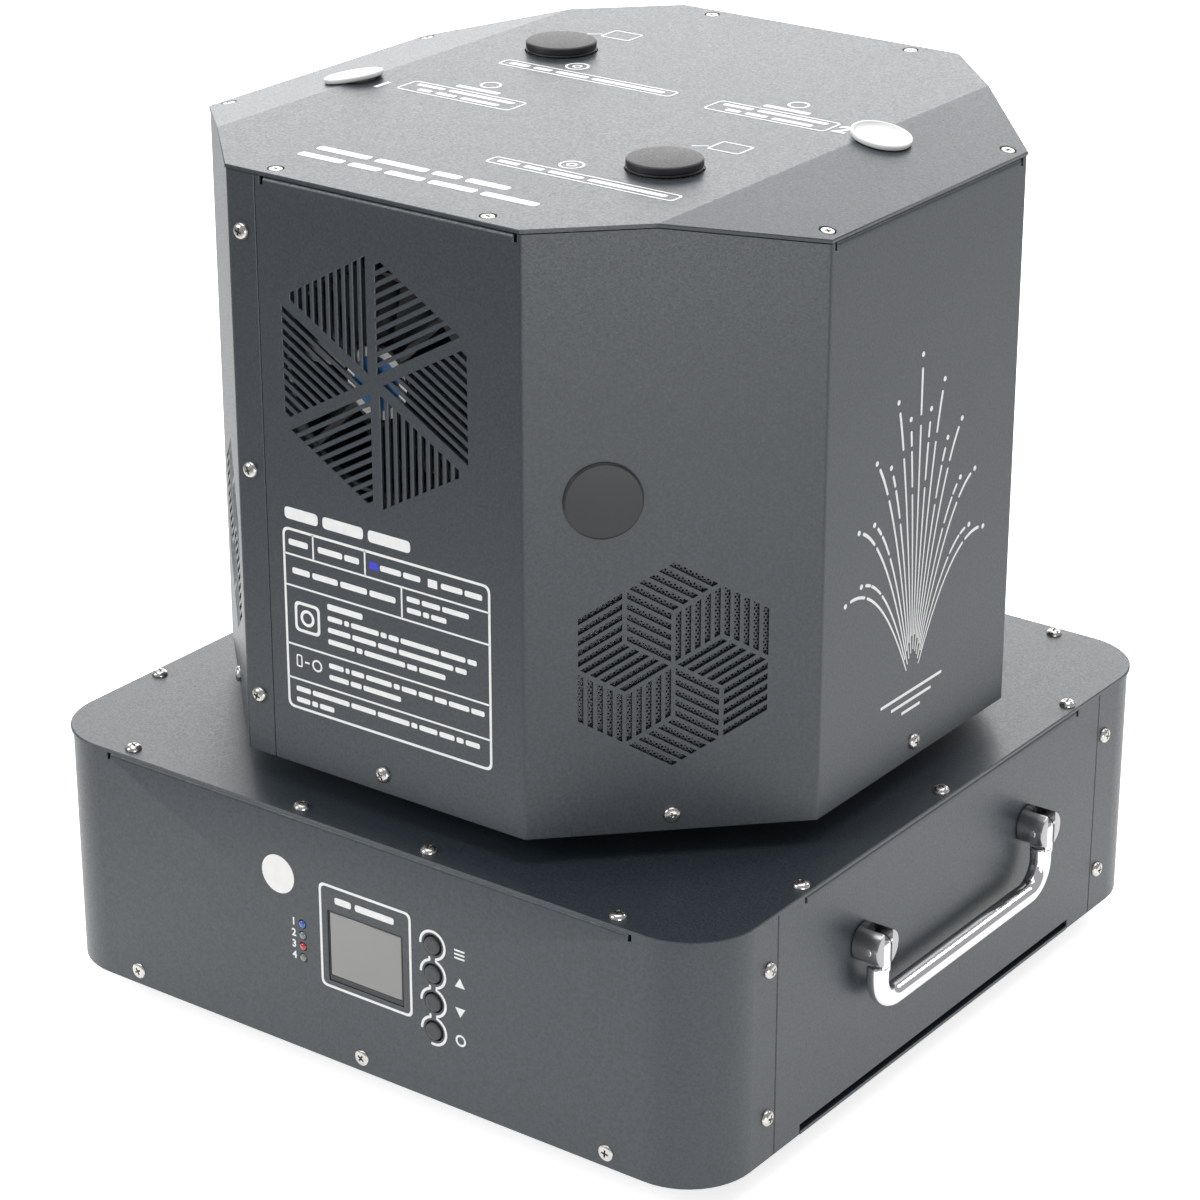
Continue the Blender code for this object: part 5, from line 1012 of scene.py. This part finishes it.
def make_head_shells():
    """Two folded shells, each a main face, two corner faces, a side face and a lap strip."""
    strip_x = FACE_HALF - STRIP
    start_x = -strip_x + GAP
    corners = [(start_x, -HEAD_HALF), (FACE_HALF, -HEAD_HALF), (HEAD_HALF, -FACE_HALF),
               (HEAD_HALF, FACE_HALF), (FACE_HALF, HEAD_HALF), (strip_x, HEAD_HALF)]
    path = BentPath(corners, BEND_RADIUS)
    corner_width = (HEAD_HALF - FACE_HALF) * math.sqrt(2)
    crease = (TOP_FOLD_X - FACE_HALF) * math.sqrt(2)
    high, low = head_wall_top(0), head_wall_top(HEAD_HALF)
    small = [shifted(hole, path.u_of(run, corner_width / 2), PERFORATED_Z)
             for run in (1, 3) for hole in perforated_strips()]
    slots = [shifted(slot, path.u_of(0, -start_x), GRILLE_Z) for slot in grille_slots()]
    main_fold = TopFold(path.u_of(0, 4), path.u_of(0, FACE_HALF - start_x - 3), high)
    side_fold = TopFold(path.u_of(2, 4), path.u_of(2, 2 * FACE_HALF - 4), low, 78.5)
    folds = [main_fold, side_fold]
    sheet = perforated_sheet()
    for name, turned in (("head_shell_front_right", False), ("head_shell_rear_left", True)):
        outline = [(0, HEAD_BOTTOM), (path.length, HEAD_BOTTOM), (path.length, high),
                   (path.u_of(3, corner_width - crease), high), (path.u_of(3, 0), low), *side_fold.edge(low),
                   (path.u_of(2, 0), low), (path.u_of(1, crease), high), *main_fold.edge(high), (0, high)]
        holes = list(slots)
        if not turned:
            holes.append(circle(path.u_of(1, corner_width / 2 + PLUG_U), PLUG_Z, PLUG_HOLE, 48))
        mesh = sheet_mesh(outline, wall_place(path, folds, half_turn(turned)), holes=holes, small_holes=small,
                          cuts_u=path.cuts(5), folds=folds)
        lap_y, lap_low, lap_high = -HEAD_HALF + BEHIND, HEAD_BOTTOM + 16, high - 14
        lap = block((start_x - STRIP + 3, lap_y, lap_low), (start_x + 8, lap_y + SHEET, lap_high))
        add_mesh(mesh, moved(lap, half_turn(turned)))
        make_piece(name + "_skin", mesh, PAINT, "head", replaces=(name,))
        backing = ([], [])
        for side in (-1, 1):
            out = Vector((1, side, 0)).normalized()
            middle = Vector((DIAGONAL, side * DIAGONAL, PERFORATED_Z)) - out * BEHIND
            add_mesh(backing, moved(sheet, half_turn(turned) @ axis_frame(middle, out)))
        make_piece(name + "_perforated_sheets", backing, PAINT, "head")


def nozzle_frame(spot):
    """The frame of a nozzle: its local Z axis points out of the sloping side of the top plate."""
    lean = math.copysign(math.atan(TOP_SLOPE), spot[0])
    z = HEAD_TOP - (abs(spot[0]) - TOP_FOLD_X) * TOP_SLOPE
    out = Vector((math.sin(lean), 0, math.cos(lean)))
    return axis_frame(Vector((spot[0], spot[1], z)), out, (0, 1, 0))


def make_top_plate():
    """The top plate, bent along two lines, with its filler, nozzle and screw holes."""
    half = PLATE_HIGH.x
    face = FACE_HALF + (half - HEAD_HALF) * math.tan(math.radians(22.5))
    fold_y = half - (TOP_FOLD_X - face)
    edge_z = HEAD_TOP - (half - TOP_FOLD_X) * TOP_SLOPE
    path = BentPath([(half, edge_z), (TOP_FOLD_X, HEAD_TOP), (-TOP_FOLD_X, HEAD_TOP), (-half, edge_z)], 3.0)
    reach = math.hypot(half - TOP_FOLD_X, HEAD_TOP - edge_z)

    def u_of(x):
        if abs(x) <= TOP_FOLD_X:
            return path.u_of(1, TOP_FOLD_X - x)
        beyond = (abs(x) - TOP_FOLD_X) * reach / (half - TOP_FOLD_X)
        return path.u_of(0, reach - beyond) if x > 0 else path.u_of(2, beyond)

    def put(u, v, depth):
        flat = path.point(u, depth)
        return Vector((flat.x, -v, flat.y))

    right = [(half, face), (TOP_FOLD_X, fold_y), (face, half)]
    plan = right + [(-x, y) for x, y in reversed(right)] + [(-x, -y) for x, y in right]
    plan += [(x, -y) for x, y in reversed(right)]
    outline = [(u_of(x), -y) for x, y in plan]
    holes = [circle(u_of(cap.x), -cap.y, CAP_RADIUS + GAP, 64) for cap in CAPS]
    for spots, radius in ((NOZZLES, NOZZLE_HOLE), (TOP_SCREWS, FLUSH_HOLE), (FLAP_SCREWS, FLUSH_HOLE)):
        holes += [circle(u_of(x), -y, radius, 32) for x, y in spots]
    mesh = sheet_mesh(outline, put, holes=holes, cuts_u=path.cuts(4))
    make_piece("head_top_skin", mesh, PAINT, "head", replaces=("head_top_plate",))


def make_head_screws():
    screws = ([], [])
    for x, y in TOP_SCREWS:
        screw_at(screws, FLUSH, (x, y, HEAD_TOP), (0, 0, 1))
    for spot in FLAP_SCREWS:
        place = nozzle_frame(spot) @ Matrix.Rotation(spin_of((*spot, 0)), 4, "Z")
        add_mesh(screws, moved(FLUSH, place))
    for turned in (False, True):
        turn = half_turn(turned)
        for (x, y), out, z in HEAD_SCREWS:
            screw_at(screws, TALL_PAN, turn @ Vector((x, y, z)), turn.to_3x3() @ Vector((*out, 0)))
    make_piece("head_screws", screws, SCREW, "head")


def make_caps_and_covers():
    """The rubber filler caps, the milky nozzle covers and the blanking plug."""
    for label, cap in zip(("right", "left"), CAPS):
        node = "fill_cap_" + label
        low, high = box_mm(node)
        seat = HEAD_TOP + GAP
        rim, groove = CAP_RADIUS, CAP_RADIUS - 0.3
        profile = [(0, low.z), (12, low.z), (12, seat), (rim, seat), (rim, seat + 0.65),
                   (groove, seat + 0.85), (groove, seat + 1.05), (rim, seat + 1.25), (rim, high.z - 0.6),
                   (rim - 0.6, high.z - 0.1), (0, high.z)]
        turned = soft_lathe(profile, 0.3, 72, Matrix.Translation((cap.x, cap.y, 0)))
        make_piece(node + "_turned", turned, RUBBER, node, replaces=(node,))
    for label, spot in zip(("right", "left"), NOZZLES):
        node = "nozzle_cover_" + label
        profile = [(0, -6), (5.6, -6), (5.6, GAP), (12.1, GAP), (12.5, GAP + 0.5), (12.5, 2.0), (12.1, 2.4),
                   (11.4, 2.4), (10.7, 1.5), (9.8, 1.1), (0, 0.9)]
        make_piece(node + "_moulded", soft_lathe(profile, 0.3, 64, nozzle_frame(spot)), COVER, node,
                   replaces=(node,))
    along = Vector((1, 1, 0)).normalized()
    centre = Vector((DIAGONAL, -DIAGONAL, PLUG_Z)) + along * PLUG_U
    profile = [(0, -5), (13.9, -5), (13.9, GAP), (15.4, GAP), (15.4, 0.6), (14.6, 1.25), (0, 1.25)]
    plug = soft_lathe(profile, 0.2, 72, axis_frame(centre, (1, -1, 0)))
    make_piece("corner_plug_moulded", plug, PLUG, "head", replaces=("corner_plug",))


def make_fans():
    """Behind each grille: a square frame with struts and a label on its middle disc, and the bladed wheel."""
    for label, turned in (("front", False), ("rear", True)):
        place = half_turn(turned) @ axis_frame((0, -HEAD_HALF + BEHIND, GRILLE_Z), (0, -1, 0))
        width, thickness, bore = 92.0, 25.0, 43.5
        body = sheet_mesh(fillet(rectangle(0, 0, width, width), 4), flat_place(place), thickness=thickness,
                          edge=0.8, holes=[circle(0, 0, bore, 72)])
        for step in range(4):
            turn = place @ Matrix.Rotation(math.radians(45 + 90 * step), 4, "Z")
            add_mesh(body, block((14, -2, -3.5), (bore + 0.5, 2, -0.6), 0.5, turn))
        add_mesh(body, soft_lathe([(0, -3.7), (16, -3.7), (16, -0.5), (0, -0.5)], 0.5, 64, place))
        make_piece("fan_frame_moulded_" + label, body, PLASTIC, "head", replaces=("fan_frame_" + label,))
        disc = lathe([(0, -0.5), (14.5, -0.5), (14.5, -0.32), (0, -0.32)], 48, place)
        make_piece("fan_label_" + label, disc, PAPER, "head")
        ring = lathe([(0, -0.32), (11.0, -0.32), (11.0, -0.26), (0, -0.26)], 48, place)
        make_piece("fan_label_middle_" + label, ring, LABEL_BLUE, "head")
        wheel = soft_lathe([(0, -22), (16, -22), (16, -4.1), (0, -4.1)], 0.8, 48, place)
        for step in range(7):
            add_mesh(wheel, fan_blade(place @ Matrix.Rotation(2 * math.pi * step / 7, 4, "Z")))
        make_piece("fan_wheel_moulded_" + label, wheel, PLASTIC, "fan_wheel_" + label, sharp=50,
                   replaces=("fan_wheel_" + label,))


def fan_blade(place):
    """A curved and twisted blade between the hub and the frame's bore."""
    inner, outer, rows, columns = 15.0, 42.0, 7, 6
    points, faces = [], []
    for side in (-0.5, 0.5):
        for row in range(rows):
            t = row / (rows - 1)
            radius = inner + (outer - inner) * t
            for column in range(columns):
                s = column / (columns - 1)
                sweep = (23 - 6 * t) * (2 * s - 1) + 9 * t
                lift = -20.5 + 15.0 * s + 1.6 * math.sin(math.pi * s) + side * 1.1
                angle = math.radians(sweep)
                points.append(place @ Vector((radius * math.cos(angle), radius * math.sin(angle), lift)))
    layer = rows * columns
    for row in range(rows - 1):
        for column in range(columns - 1):
            a = row * columns + column
            quad = (a, a + 1, a + columns + 1, a + columns)
            faces += [tuple(layer + corner for corner in reversed(quad)), quad]
    rim = list(range(columns)) + [row * columns + columns - 1 for row in range(1, rows)]
    rim += [(rows - 1) * columns + column for column in range(columns - 2, -1, -1)]
    rim += [row * columns for row in range(rows - 2, 0, -1)]
    for a, b in zip(rim, rim[1:] + rim[:1]):
        faces.append((b, a, a + layer, b + layer))
    return points, faces


# Prints

INK_STAND = 0.07
INK_THICKNESS = 0.05


class Print:
    """Flat ink shapes on one face, drawn in the face's own millimetres."""

    def __init__(self, place):
        self.put = flat_place(place @ Matrix.Translation((0, 0, INK_STAND)))
        self.mesh = ([], [])

    def shape(self, outline, *holes):
        add_mesh(self.mesh, sheet_mesh(outline, self.put, thickness=INK_THICKNESS, edge=0, holes=holes))

    def frame(self, x, y, width, height, corner, line):
        """A rounded frame with its outer size given."""
        self.shape(fillet(rectangle(x, y, width, height), corner, 6),
                   fillet(rectangle(x, y, width - 2 * line, height - 2 * line), corner - line * 0.6, 6))

    def ring(self, x, y, radius, line):
        self.shape(circle(x, y, radius, 40), circle(x, y, radius - line, 40))

    def bar(self, x, y, width, height):
        """A bar with rounded ends, from its left end."""
        self.shape(fillet(rectangle(x + width / 2, y, width, height), height * 0.35, 3))

    def words(self, x, y, height, lengths, space=1.0):
        """A row of bars that stands for a line of print."""
        for length in lengths:
            self.bar(x, y, length, height)
            x += length + space

    def stroke(self, points, start_width, end_width=None):
        """A line of changing width with round ends."""
        points = vectors(points)
        end_width = start_width if end_width is None else end_width
        left, right = [], []
        last = len(points) - 1
        for index, here in enumerate(points):
            before, after = points[max(index - 1, 0)], points[min(index + 1, last)]
            along = (after - before).normalized()
            half = (start_width + (end_width - start_width) * index / last) / 2
            normal = Vector((-along.y, along.x))
            left.append(here + normal * half)
            right.append(here - normal * half)
            if index in (0, last):
                cap = along * half * (-1 if index == 0 else 1)
                tips = [here + cap * math.sin(a) + normal * half * math.cos(a)
                        for a in (0.6, 1.2, 1.94, 2.54)]
                if index == 0:
                    first_cap = tips
                else:
                    last_cap = tips[::-1]
        self.shape(right + last_cap + left[::-1] + first_cap)

    def number(self, text, x, y, size):
        """A plain numeral centred on a point."""
        curve = bpy.data.curves.new("numeral", "FONT")
        curve.body = text
        curve.size = size
        curve.align_x = "CENTER"
        curve.align_y = "CENTER"
        curve.offset = size * 0.03
        holder = new_object("numeral", curve)
        bpy.context.view_layer.update()
        data = holder.evaluated_get(bpy.context.evaluated_depsgraph_get()).to_mesh()
        outline = bmesh.new()
        outline.from_mesh(data)
        bmesh.ops.remove_doubles(outline, verts=outline.verts, dist=1e-4)
        for vertex in outline.verts:
            vertex.co = Vector((vertex.co.x + x, vertex.co.y + y, 0))
        faces = bmesh.ops.extrude_face_region(outline, geom=outline.faces[:])
        for vertex in (item for item in faces["geom"] if isinstance(item, bmesh.types.BMVert)):
            vertex.co.z = -INK_THICKNESS
        bmesh.ops.recalc_face_normals(outline, faces=outline.faces)
        points, polygons = take_mesh(outline)
        add_mesh(self.mesh, ([self.put(p.x, p.y, -p.z) for p in points], polygons))
        bpy.data.objects.remove(holder, do_unlink=True)

    def done(self, name, body, material=INK):
        make_piece(name, self.mesh, material, body)


def print_front_panel():
    """The display's frame, the chain of arcs round the keys, numbers by the lights and signs by the keys."""
    art = Print(panel_frame(0, 0))
    art.frame(3.5, BASE_LOW + 57.5, 47.4, 47.0, 3.2, 1.15)
    art.words(-12.0, BASE_LOW + 74.6, 3.0, (8.5, 20.0), 2.0)
    ring, line, pinch = 6.1, 1.15, 16.0
    chain = arc(KEYS[0].x, KEYS[0].z, ring, 180, -90 + pinch, 26)
    for key in KEYS[1:3]:
        chain += arc(key.x, key.z, ring, 90 - pinch, -90 + pinch, 18)
    chain += arc(KEYS[3].x, KEYS[3].z, ring, 90 - pinch, -100, 20)
    art.stroke(chain, line)
    for key in KEYS[1:]:
        hook = [(key.x - ring * math.sin(math.radians(pinch)), key.z + ring + 0.9)]
        art.stroke(hook + arc(key.x, key.z, ring, 90 + pinch, 178, 12), line)
    sign_x = KEYS[0].x + 13.5
    for offset in (-1.7, 0, 1.7):
        art.bar(sign_x - 2.6, KEYS[0].z + offset, 5.2, 0.8)
    for z, way in ((KEYS[1].z, 1), (KEYS[2].z, -1)):
        art.shape([(sign_x - 2.5, z - 1.8 * way), (sign_x + 2.5, z - 1.8 * way), (sign_x, z + 2.4 * way)])
    art.ring(sign_x, KEYS[3].z, 2.6, 0.9)
    for step in range(4):
        art.number(str(step + 1), LIGHT_X - 4.6, LIGHT_TOP - LIGHT_PITCH * step, 4.6)
    art.done("panel_print", "base")
    sticker = Print(panel_frame(-41.7, BASE_LOW + 77.5))
    sticker.shape(circle(0, 0, 8.5, 56))
    sticker.done("round_sticker", "base", PAPER)


def print_data_plate():
    """A ruled plate under the grille, with plain bars in place of words."""
    left, right, low, high = -48.5, 55.0, BASE_LOW + 144.0, BASE_LOW + 222.0
    art = Print(axis_frame((0, -HEAD_HALF, 0), (0, -1, 0)))
    art.frame((left + right) / 2, (low + high) / 2, right - left, high - low, 3.4, 1.1)
    rules = [high - drop for drop in (11.3, 24.6, 50.0, 64.8)]
    for rule in rules:
        art.shape(rectangle((left + right) / 2, rule, right - left - 1.8, 0.8))
    for x, top, bottom in ((15.6, high, rules[0]), (41.9, high, rules[0]), (60.0, *rules[:2])):
        art.shape(rectangle(left + x, (top + bottom) / 2, 0.8, top - bottom - 1.0))
    art.words(-47.0, high + 6.2, 5.0, (17.0, 20.5, 21.0), 2.4)
    art.words(left + 4.5, rules[0] - 6.6, 2.6, (9.0, 13.0, 13.5, 13.0), 1.3)
    text = 22.0
    for x, rule, drop, height, lengths in (
            (3.0, high, 6.0, 2.6, (10.0,)),
            (18.0, high, 6.0, 2.6, (12.5, 7.5)),
            (49.5, high, 6.0, 2.4, (10.5, 8.5)),
            (79.6, high, 6.0, 2.4, (10.5, 8.5)),
            (62.5, rules[0], 4.2, 2.2, (6.5, 9.0, 13.0)),
            (62.5, rules[0], 8.9, 2.2, (7.0, 3.0, 7.5)),
            (text, rules[1], 4.6, 2.6, (18.0,)),
            (text, rules[1], 9.6, 2.2, (7.5, 2.5, 14.0, 3.0, 5.0, 19.0, 12.0, 4.5)),
            (text, rules[1], 14.6, 2.2, (11.5, 12.0, 9.5, 27.0, 5.5)),
            (text, rules[1], 19.6, 2.2, (13.5, 3.0, 20.5, 5.0, 13.0)),
            (text, rules[2], 4.6, 2.2, (7.5, 2.0, 6.5, 13.0, 3.0, 7.5, 7.0, 6.0, 10.0, 6.5)),
            (text, rules[2], 9.6, 2.2, (10.0, 5.5, 19.0)),
            (4.5, rules[3], 4.2, 2.2, (7.5, 19.0, 12.5, 16.0, 3.0, 9.0, 7.5, 3.5, 7.0)),
            (4.5, rules[3], 9.0, 2.2, (7.0, 3.0, 7.5))):
        art.words(left + x, rule - drop, height, lengths)
    art.shape(rectangle(left + 75.5, high - 6.2, 4.6, 3.4))
    art.frame(left + 11.5, rules[1] - 12.6, 13.0, 13.0, 2.6, 1.3)
    art.ring(left + 11.5, rules[1] - 12.6, 3.6, 1.3)
    art.frame(left + 6.6, rules[2] - 6.6, 3.0, 5.4, 0.9, 0.6)
    art.bar(left + 9.4, rules[2] - 6.6, 2.4, 0.8)
    art.ring(left + 15.8, rules[2] - 6.6, 2.6, 0.8)
    art.done("data_plate_print", "head")
    mark = Print(axis_frame((0, -HEAD_HALF, 0), (0, -1, 0)))
    mark.shape(rectangle(left + 46.4, high - 6.0, 4.4, 3.2))
    mark.done("data_plate_mark", "head", BLUE_INK)


def print_side_art(side):
    """A fountain of falling streaks that rises from one point, with dots at their ends."""
    art = Print(axis_frame((side * HEAD_HALF, -3 * side, 0), (side, 0, 0)))
    floor_z = BASE_LOW + 150.0
    fall, spread = 170.0, 0.47
    for streak in range(-8, 9):
        lean = math.radians(90 - streak * 5.2)
        rise = 235.0 - abs(streak) * 6.5 - (14.0 if streak % 2 else 0.0)
        speed_x, speed_z = rise * math.cos(lean), rise * math.sin(lean)

        def at(t):
            return Vector((speed_x * t * spread, floor_z + speed_z * t - fall * t * t / 2))

        ends = ((0.12, 0.50), (0.53, 0.66), (0.69, 0.75)) if streak % 2 else ((0.08, 0.62), (0.66, 0.83))
        for start, end in ends:
            steps = 10
            line = [at(start + (end - start) * step / steps) for step in range(steps + 1)]
            art.stroke(line, 0.5 + 1.1 * start, 0.5 + 1.1 * end)
        tip = at(ends[-1][1] + 0.07)
        art.shape(circle(tip.x, tip.y, 1.1, 20))
    for width, drop in ((46.0, 4.0), (30.0, 8.0), (14.0, 12.0)):
        art.bar(-width / 2, floor_z - drop + 4.0, width, 1.3)
    art.done("side_print_right" if side > 0 else "side_print_left", "head")


def print_top():
    """Rounded frames with plain bars, an outline by each cap, and a numeral by each nozzle."""
    flat = Print(Matrix.Translation((0, 0, HEAD_TOP)))
    flat.words(-56.0, -114.5, 4.6, (26.0, 25.0, 13.0, 20.0), 3.0)
    flat.words(-57.0, -124.5, 4.6, (22.0, 15.0, 18.0, 22.0), 3.0)
    flat.words(32.0, -124.5, 4.6, (26.0,), 3.0)
    for x, y in ((-32.5, 28.5), (51.0, -87.5)):
        flat.frame(x, y, 88.0, 8.4, 2.6, 0.8)
        flat.words(x - 40.0, y, 3.0, (10.0, 9.0, 16.0, 36.0), 2.6)
        flat.ring(x - 14.0, y + 12.0, 5.2, 1.0)
        flat.ring(x - 14.0, y + 12.0, 2.2, 1.0)
    for x, y in ((-57.5, -23.5), (60.5, 26.0)):
        flat.frame(x, y, 58.0, 14.0, 2.6, 0.8)
        flat.words(x - 25.0, y + 3.0, 2.8, (14.0, 33.0), 2.6)
        flat.words(x - 20.0, y - 3.0, 2.8, (7.0, 10.0, 19.0), 2.6)
        flat.words(x - 11.0, y + 11.0, 3.0, (22.0,))
        flat.ring(x, y + 19.5, 4.6, 1.0)
    for x, y in ((70.0, -21.0), (-64.0, 92.0)):
        flat.frame(x + 3, y, 15.0, 12.0, 1.6, 0.8)
        flat.stroke([(x - 5.5, y - 3.0), (x - 10.5, y - 6.5)], 0.8)
    flat.number("1", -94.0, -30.0, 12.5)
    flat.number("2", 94.2, 25.5, 12.5)
    flat.done("top_print", "head")


# Frame nodes that stay

KEPT = {
    PAINT: ("base_bottom_plate",),
    ZINC: ("power_supply", "head_floor", "feed_motor_right", "feed_motor_left"),
    ALUMINIUM: ("head_spindle_pulley", "motor_pulley", "granule_hopper_right", "granule_hopper_left"),
    STEEL: ("turntable_bearing", "feed_screw_right", "feed_screw_left", "nozzle_barrel_right",
            "nozzle_barrel_left"),
    RUBBER: ("drive_belt",),
    PLASTIC: ("drive_motor", "slip_ring"),
}


def dress_frame():
    """Gives the nodes that stay their finishes."""
    for material, names in KEPT.items():
        for name in names:
            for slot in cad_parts[name].material_slots:
                slot.material = material


# Stage

def add_area_light(name, position, target, width, height, power):
    """A soft box that faces its target and that the camera doesn't see."""
    light = bpy.data.lights.new(name, "AREA")
    light.shape = "RECTANGLE"
    light.size, light.size_y = width, height
    light.energy = power
    obj = new_object(name, light)
    obj.location = position
    obj.rotation_euler = (Vector(target) - Vector(position)).to_track_quat("-Z", "Y").to_euler()
    obj.visible_camera = False


def make_stage():
    """A white floor, a pale world, and soft boxes over, behind and in front of the machine."""
    mesh = bmesh.new()
    bmesh.ops.create_circle(mesh, cap_ends=True, segments=96, radius=6.0)
    data = bpy.data.meshes.new("floor")
    mesh.to_mesh(data)
    mesh.free()
    floor = new_object("floor", data)
    floor.location.z = -0.0005
    data.materials.append(floor_finish())

    world = bpy.data.worlds.new("studio")
    bpy.context.scene.world = world
    world.use_nodes = True
    set_inputs(world.node_tree.nodes["Background"], {"Color": (1.0, 1.0, 1.0, 1.0), "Strength": 0.45})
    add_area_light("overhead", (-0.1, 0.1, 1.9), (0, 0, 0.2), 1.8, 1.8, 26)
    add_area_light("back_left", (-1.25, 1.75, 1.05), (0, 0, 0.35), 2.8, 1.5, 37)
    add_area_light("back_right", (0.75, 1.45, 1.15), (0.15, 0, 0.1), 0.5, 0.22, 4)
    add_area_light("front_left", (-1.2, -1.5, 1.1), (0, 0, 0.15), 0.9, 0.9, 15.5)
    add_area_light("low_right", (1.35, -1.0, 0.18), (0, 0, 0.25), 0.8, 0.3, 5)


def floor_finish():
    """A floor that is white to the eye and keeps the shadow. Its colour is painted darker towards the front
    left, and mirrors see a painted pool of light: bright near the machine, dimmer away from it and towards
    the front left.
    """
    material, tree, shader = new_material("studio_floor")
    set_inputs(shader, {"Roughness": 0.9, "Emission Color": (1.0, 1.0, 1.0, 1.0)})
    place = tree.nodes.new("ShaderNodeTexCoord").outputs["Object"]
    along = vector_value(tree, "DOT_PRODUCT", place, (-0.59, -0.81, 0.0))
    away = vector_value(tree, "LENGTH", place)
    # Painted shade: the floor's own colour dims from 0.82 to 0.30 towards the front left, so that faces which
    # mirror that part of the floor come out darker.
    tree.links.new(ramp(tree, along, 0.82, 0.30, 0.32, 0.85), shader.inputs["Base Color"])
    path = tree.nodes.new("ShaderNodeLightPath")
    # Painted reflection: glossy and transmission rays see an emission that is strongest near the machine and
    # fades with distance and towards the front left, a painted pool of light.
    painted_pool_in_mirrors = combined(tree, "ADD", path.outputs["Is Glossy Ray"], path.outputs["Is Transmission Ray"])
    painted_pool_in_mirrors = combined(tree, "MULTIPLY", painted_pool_in_mirrors, ramp(tree, along, 1.0, 0.0, 0.32, 0.85))
    painted_pool_in_mirrors = combined(tree, "MULTIPLY", painted_pool_in_mirrors, ramp(tree, away, 0.72, 0.28, 0.25, 0.65))
    seen = combined(tree, "MULTIPLY", path.outputs["Is Camera Ray"], ramp(tree, away, 0.72, 1.0, 0.25, 0.65))
    white_and_painted_glow = combined(tree, "ADD", seen, painted_pool_in_mirrors)
    tree.links.new(white_and_painted_glow, shader.inputs["Emission Strength"])
    return material


def vector_value(tree, operation, vector, other=(0.0, 0.0, 0.0)):
    node = tree.nodes.new("ShaderNodeVectorMath")
    node.operation = operation
    node.inputs[1].default_value = other
    tree.links.new(vector, node.inputs[0])
    return node.outputs["Value"]


def combined(tree, operation, first, second):
    node = tree.nodes.new("ShaderNodeMath")
    node.operation = operation
    tree.links.new(first, node.inputs[0])
    tree.links.new(second, node.inputs[1])
    return node.outputs["Value"]


def add_camera():
    """The photograph's view: a long lens a little over a metre away, above the front right corner."""
    data = bpy.data.cameras.new("camera")
    data.lens = 110.56
    data.sensor_width = 36.0
    camera = new_object("camera", data)
    azimuth, elevation, distance = math.radians(36.29), math.radians(23.268), 1.46168
    back = Vector((math.sin(azimuth) * math.cos(elevation), -math.cos(azimuth) * math.cos(elevation),
                   math.sin(elevation)))
    target = Vector((0.05226, -0.07814, 0.202))
    camera.location = target + back * distance
    camera.rotation_euler = (-back).to_track_quat("-Z", "Y").to_euler()
    bpy.context.scene.camera = camera


make_base_case()
make_feet()
make_base_screws()
make_handles()
make_display()
make_keys_and_lights()
make_board()
make_sockets()
make_switch()
make_head_shells()
make_top_plate()
make_head_screws()
make_caps_and_covers()
make_fans()
print_front_panel()
print_data_plate()
print_side_art(1)
print_side_art(-1)
print_top()
dress_frame()
make_stage()
add_camera()
bpy.context.scene.view_settings.view_transform = "Standard"
